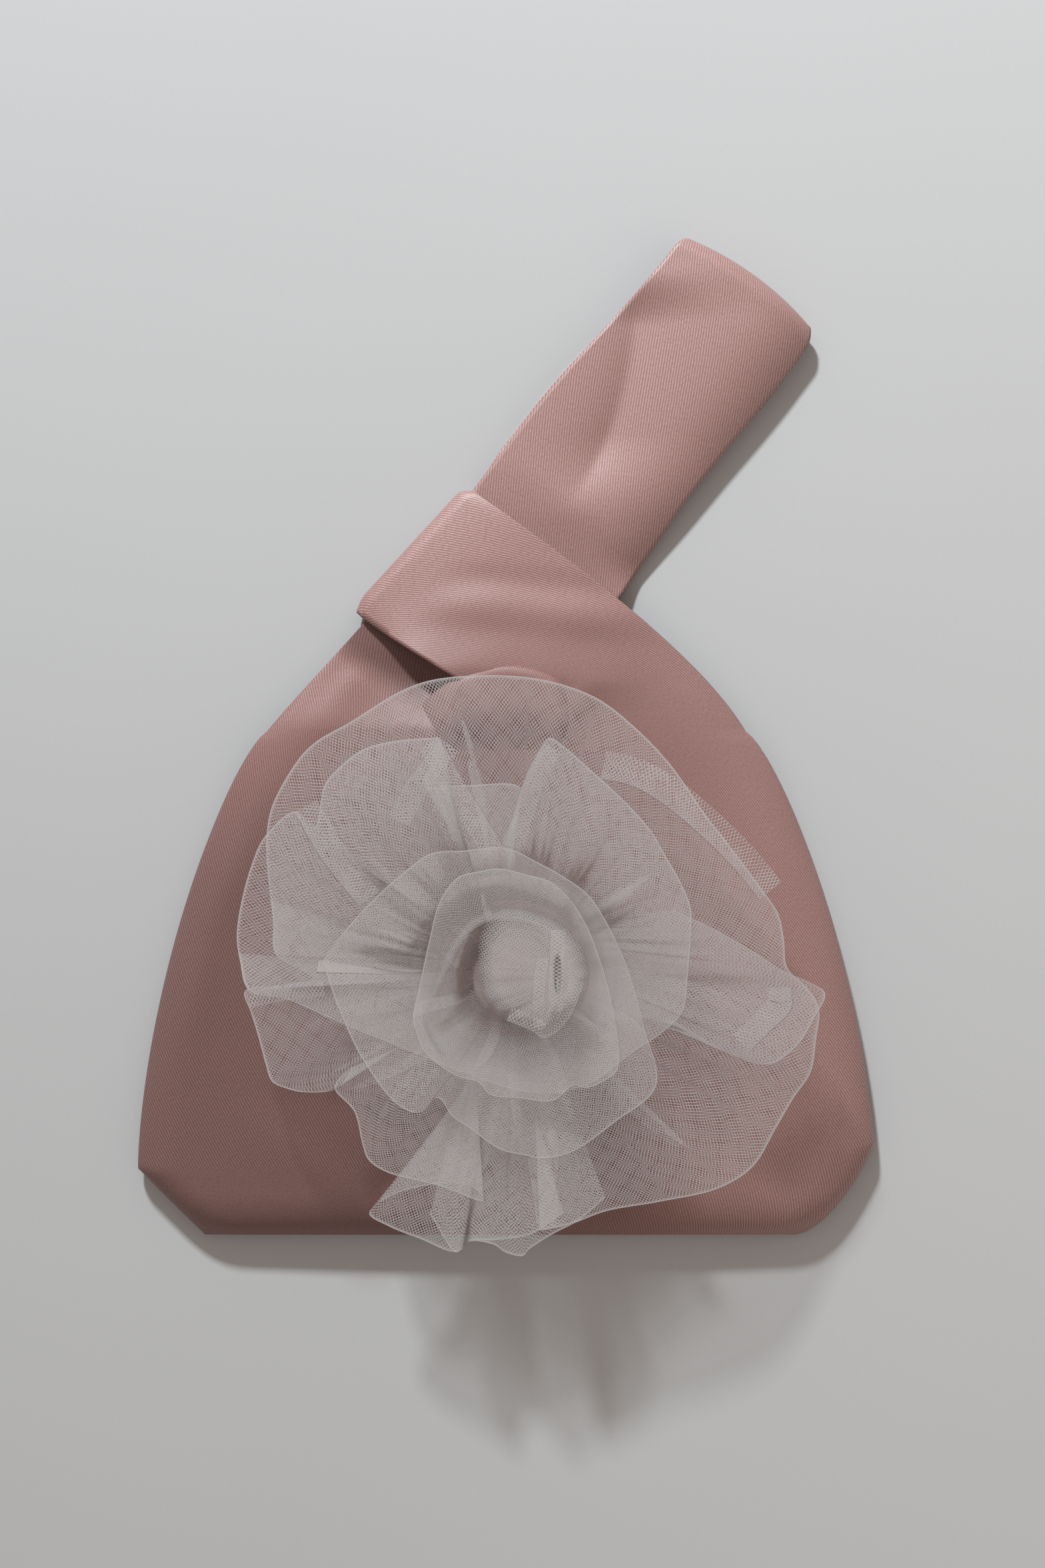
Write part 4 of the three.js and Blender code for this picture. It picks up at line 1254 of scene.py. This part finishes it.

# %% [markdown]
# ## Putting the pieces on the frame
#
# Each piece stands for one node of the frame and takes one material. The pieces of the bag move
# with its body, and the long loop's leaves, which cross from the bag to the loop, ride on no body.

# %% Nodes, materials and bodies
TULLE_PIECES = {
    "ruffle_outer": "tulle_outer_ruffle", "pleat_right": "tulle_right_pleat",
    "fan_bottom": "tulle_bottom_fan", "ruffle_second": "tulle_second_ruffle",
    "ruffle_third": "tulle_third_ruffle", "ruffle_inner": "tulle_inner_ruffle",
    "rolled_bud": "tulle_bud",
}
LOOP_PIECES = {
    "loop_front": "long_loop_front", "loop_back": "long_loop_back",
    "loop_lining_front": "long_loop_front_lining", "loop_lining_back": "long_loop_back_lining",
}
PANEL_PIECES = {
    "satin_front": "front_panel", "satin_back": "back_panel", "lining_front": "front_lining",
    "lining_back": "back_lining", "felt_backing": "flower_backing",
}


def finish_of(name):
    """The material and the slot that a piece takes."""
    if name in TULLE_PIECES:
        return tulle, "tulle"
    if name == "felt_backing":
        return felt, "felt"
    return (lining_cloth, "lining") if "lining" in name else (satin_cloth, "satin")


for name, node in {**PANEL_PIECES, **LOOP_PIECES, **TULLE_PIECES}.items():
    piece = pieces[name]
    material, slot = finish_of(name)
    piece.data.materials.append(material)
    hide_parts(node)
    if name in LOOP_PIECES:
        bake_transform(piece)
    else:
        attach(piece, "bag")
print(len(pieces), "pieces ride on the frame")

# %% [markdown]
# ## What each cloth measures flat
#
#
# A tulle strip is a rectangle, as long as its rim and twice as wide as its tier is tall, because it
# is folded along the rim. The surfaces here hold only 0.5 to 0.9 of that cloth, because their
# gathers are too shallow near the root. They are fitted, not measured from a cut.

# %% Sheets
def surface_area(piece):
    """The area of a piece's faces, in square metres."""
    mesh = piece.data
    area = np.zeros(len(mesh.polygons))
    mesh.polygons.foreach_get("area", area)
    return float(area.sum())


for name in ("satin_front", "satin_back", "lining_front", "lining_back"):
    share = surface_area(pieces[name]) / (0.285 * 0.300)
for name in TULLE_PIECES:
    long, wide = (side * MM for side in strips[name])
    print(name, "strip", round(long, 3), "by", round(wide, 3), "m, share",
          round(surface_area(pieces[name]) / (long * wide), 2))

# %% [markdown]
# ## Table, light and camera
#
# The table is a pale surface with painted shade that makes it a little darker on the left. One soft
# lamp stands beyond the top of the picture, low enough to throw a shadow one and a half times as
# long as the object is high, and white surroundings fill the rest. The camera looks straight down.

# %% The table
def floor_material(name):
    """A pale surface with painted light that makes it a little brighter to the right, and a very
    fine grain.
    """
    material, t, shader = new_material(name)
    x = add(t, "ShaderNodeSeparateXYZ", {0: on_piece(t)}).outputs[0]
    # Painted light: the table's colour runs from darker on the left to brighter on the right.
    colour = tinted(t, srgb(188, 188, 188), srgb(200, 200, 200), ranged(t, x, -0.2, 0.2),
                    mottled(t, 4.0, 700.0, 0.05))
    join(t, shader, {"Base Color": colour, "Roughness": 0.9, "Specular IOR Level": 0.2})
    return material


TABLE_REACH = 3
floor_mesh = bpy.data.meshes.new("floor")
corners = [(x * TABLE_REACH, y * TABLE_REACH, 0) for x, y in ((-1, -1), (1, -1), (1, 1), (-1, 1))]
floor_mesh.from_pydata(corners, [], [(0, 1, 2, 3)])
floor = bpy.data.objects.new("floor", floor_mesh)
floor.data.materials.append(floor_material("pale_table"))
bpy.context.scene.collection.objects.link(floor)

# %% Lamp, surroundings and camera
LAMP_DISTANCE, LAMP_WIDTH, LAMP_STRENGTH, SHADOW_RATIO = 2.0, 0.20, 0.62, 1.5
LAMP_SIDE, LAMP_BEYOND, LAMP_COLOUR = -0.275, 0.96, (0.939, 1.012, 1.061)
FILL_COLOUR, FILL_STRENGTH, NETS_CROSSED = (1.10, 0.98, 0.90, 1.0), 0.38, 48
rise = math.atan2(1, SHADOW_RATIO)
level = math.cos(rise)
toward = Vector((LAMP_SIDE * level, LAMP_BEYOND * level, math.sin(rise))).normalized()
lamp_data = bpy.data.lights.new("key", "AREA")
lamp_data.shape = "DISK"
lamp_data.size = LAMP_WIDTH
lamp_data.color = LAMP_COLOUR
lamp_data.energy = LAMP_STRENGTH * math.pi**2 * LAMP_DISTANCE**2 / toward.z
lamp = bpy.data.objects.new("key", lamp_data)
lamp.location = toward * LAMP_DISTANCE
lamp.rotation_euler = toward.to_track_quat("Z", "Y").to_euler()
bpy.context.scene.collection.objects.link(lamp)

world = bpy.data.worlds.new("surroundings")
world.use_nodes = True
sky = world.node_tree
fill = sky.nodes["Background"]
join(sky, fill, {0: FILL_COLOUR, 1: FILL_STRENGTH})
seen = add(sky, "ShaderNodeBackground", {0: srgb(225, 225, 225)})
from_camera = add(sky, "ShaderNodeLightPath").outputs["Is Camera Ray"]
both = add(sky, "ShaderNodeMixShader", {0: from_camera, 1: fill.outputs[0], 2: seen.outputs[0]})
join(sky, sky.nodes["World Output"], {0: both.outputs[0]})
bpy.context.scene.world = world

CAMERA_X, CAMERA_Y, CAMERA_HEIGHT, LENS, SENSOR = 0.00576, 0.1613, 0.85, 54.2, 36
camera_data = bpy.data.cameras.new("above")
camera_data.lens, camera_data.sensor_width = LENS, SENSOR
camera = bpy.data.objects.new("above", camera_data)
camera.location = (CAMERA_X, BASE_LINE + CAMERA_Y, CAMERA_HEIGHT)
bpy.context.scene.collection.objects.link(camera)
bpy.context.scene.camera = camera
bpy.context.scene.view_settings.view_transform = "Standard"
bpy.context.scene.cycles.transparent_max_bounces = NETS_CROSSED
print("the camera looks straight down from", camera.location[2], "m")
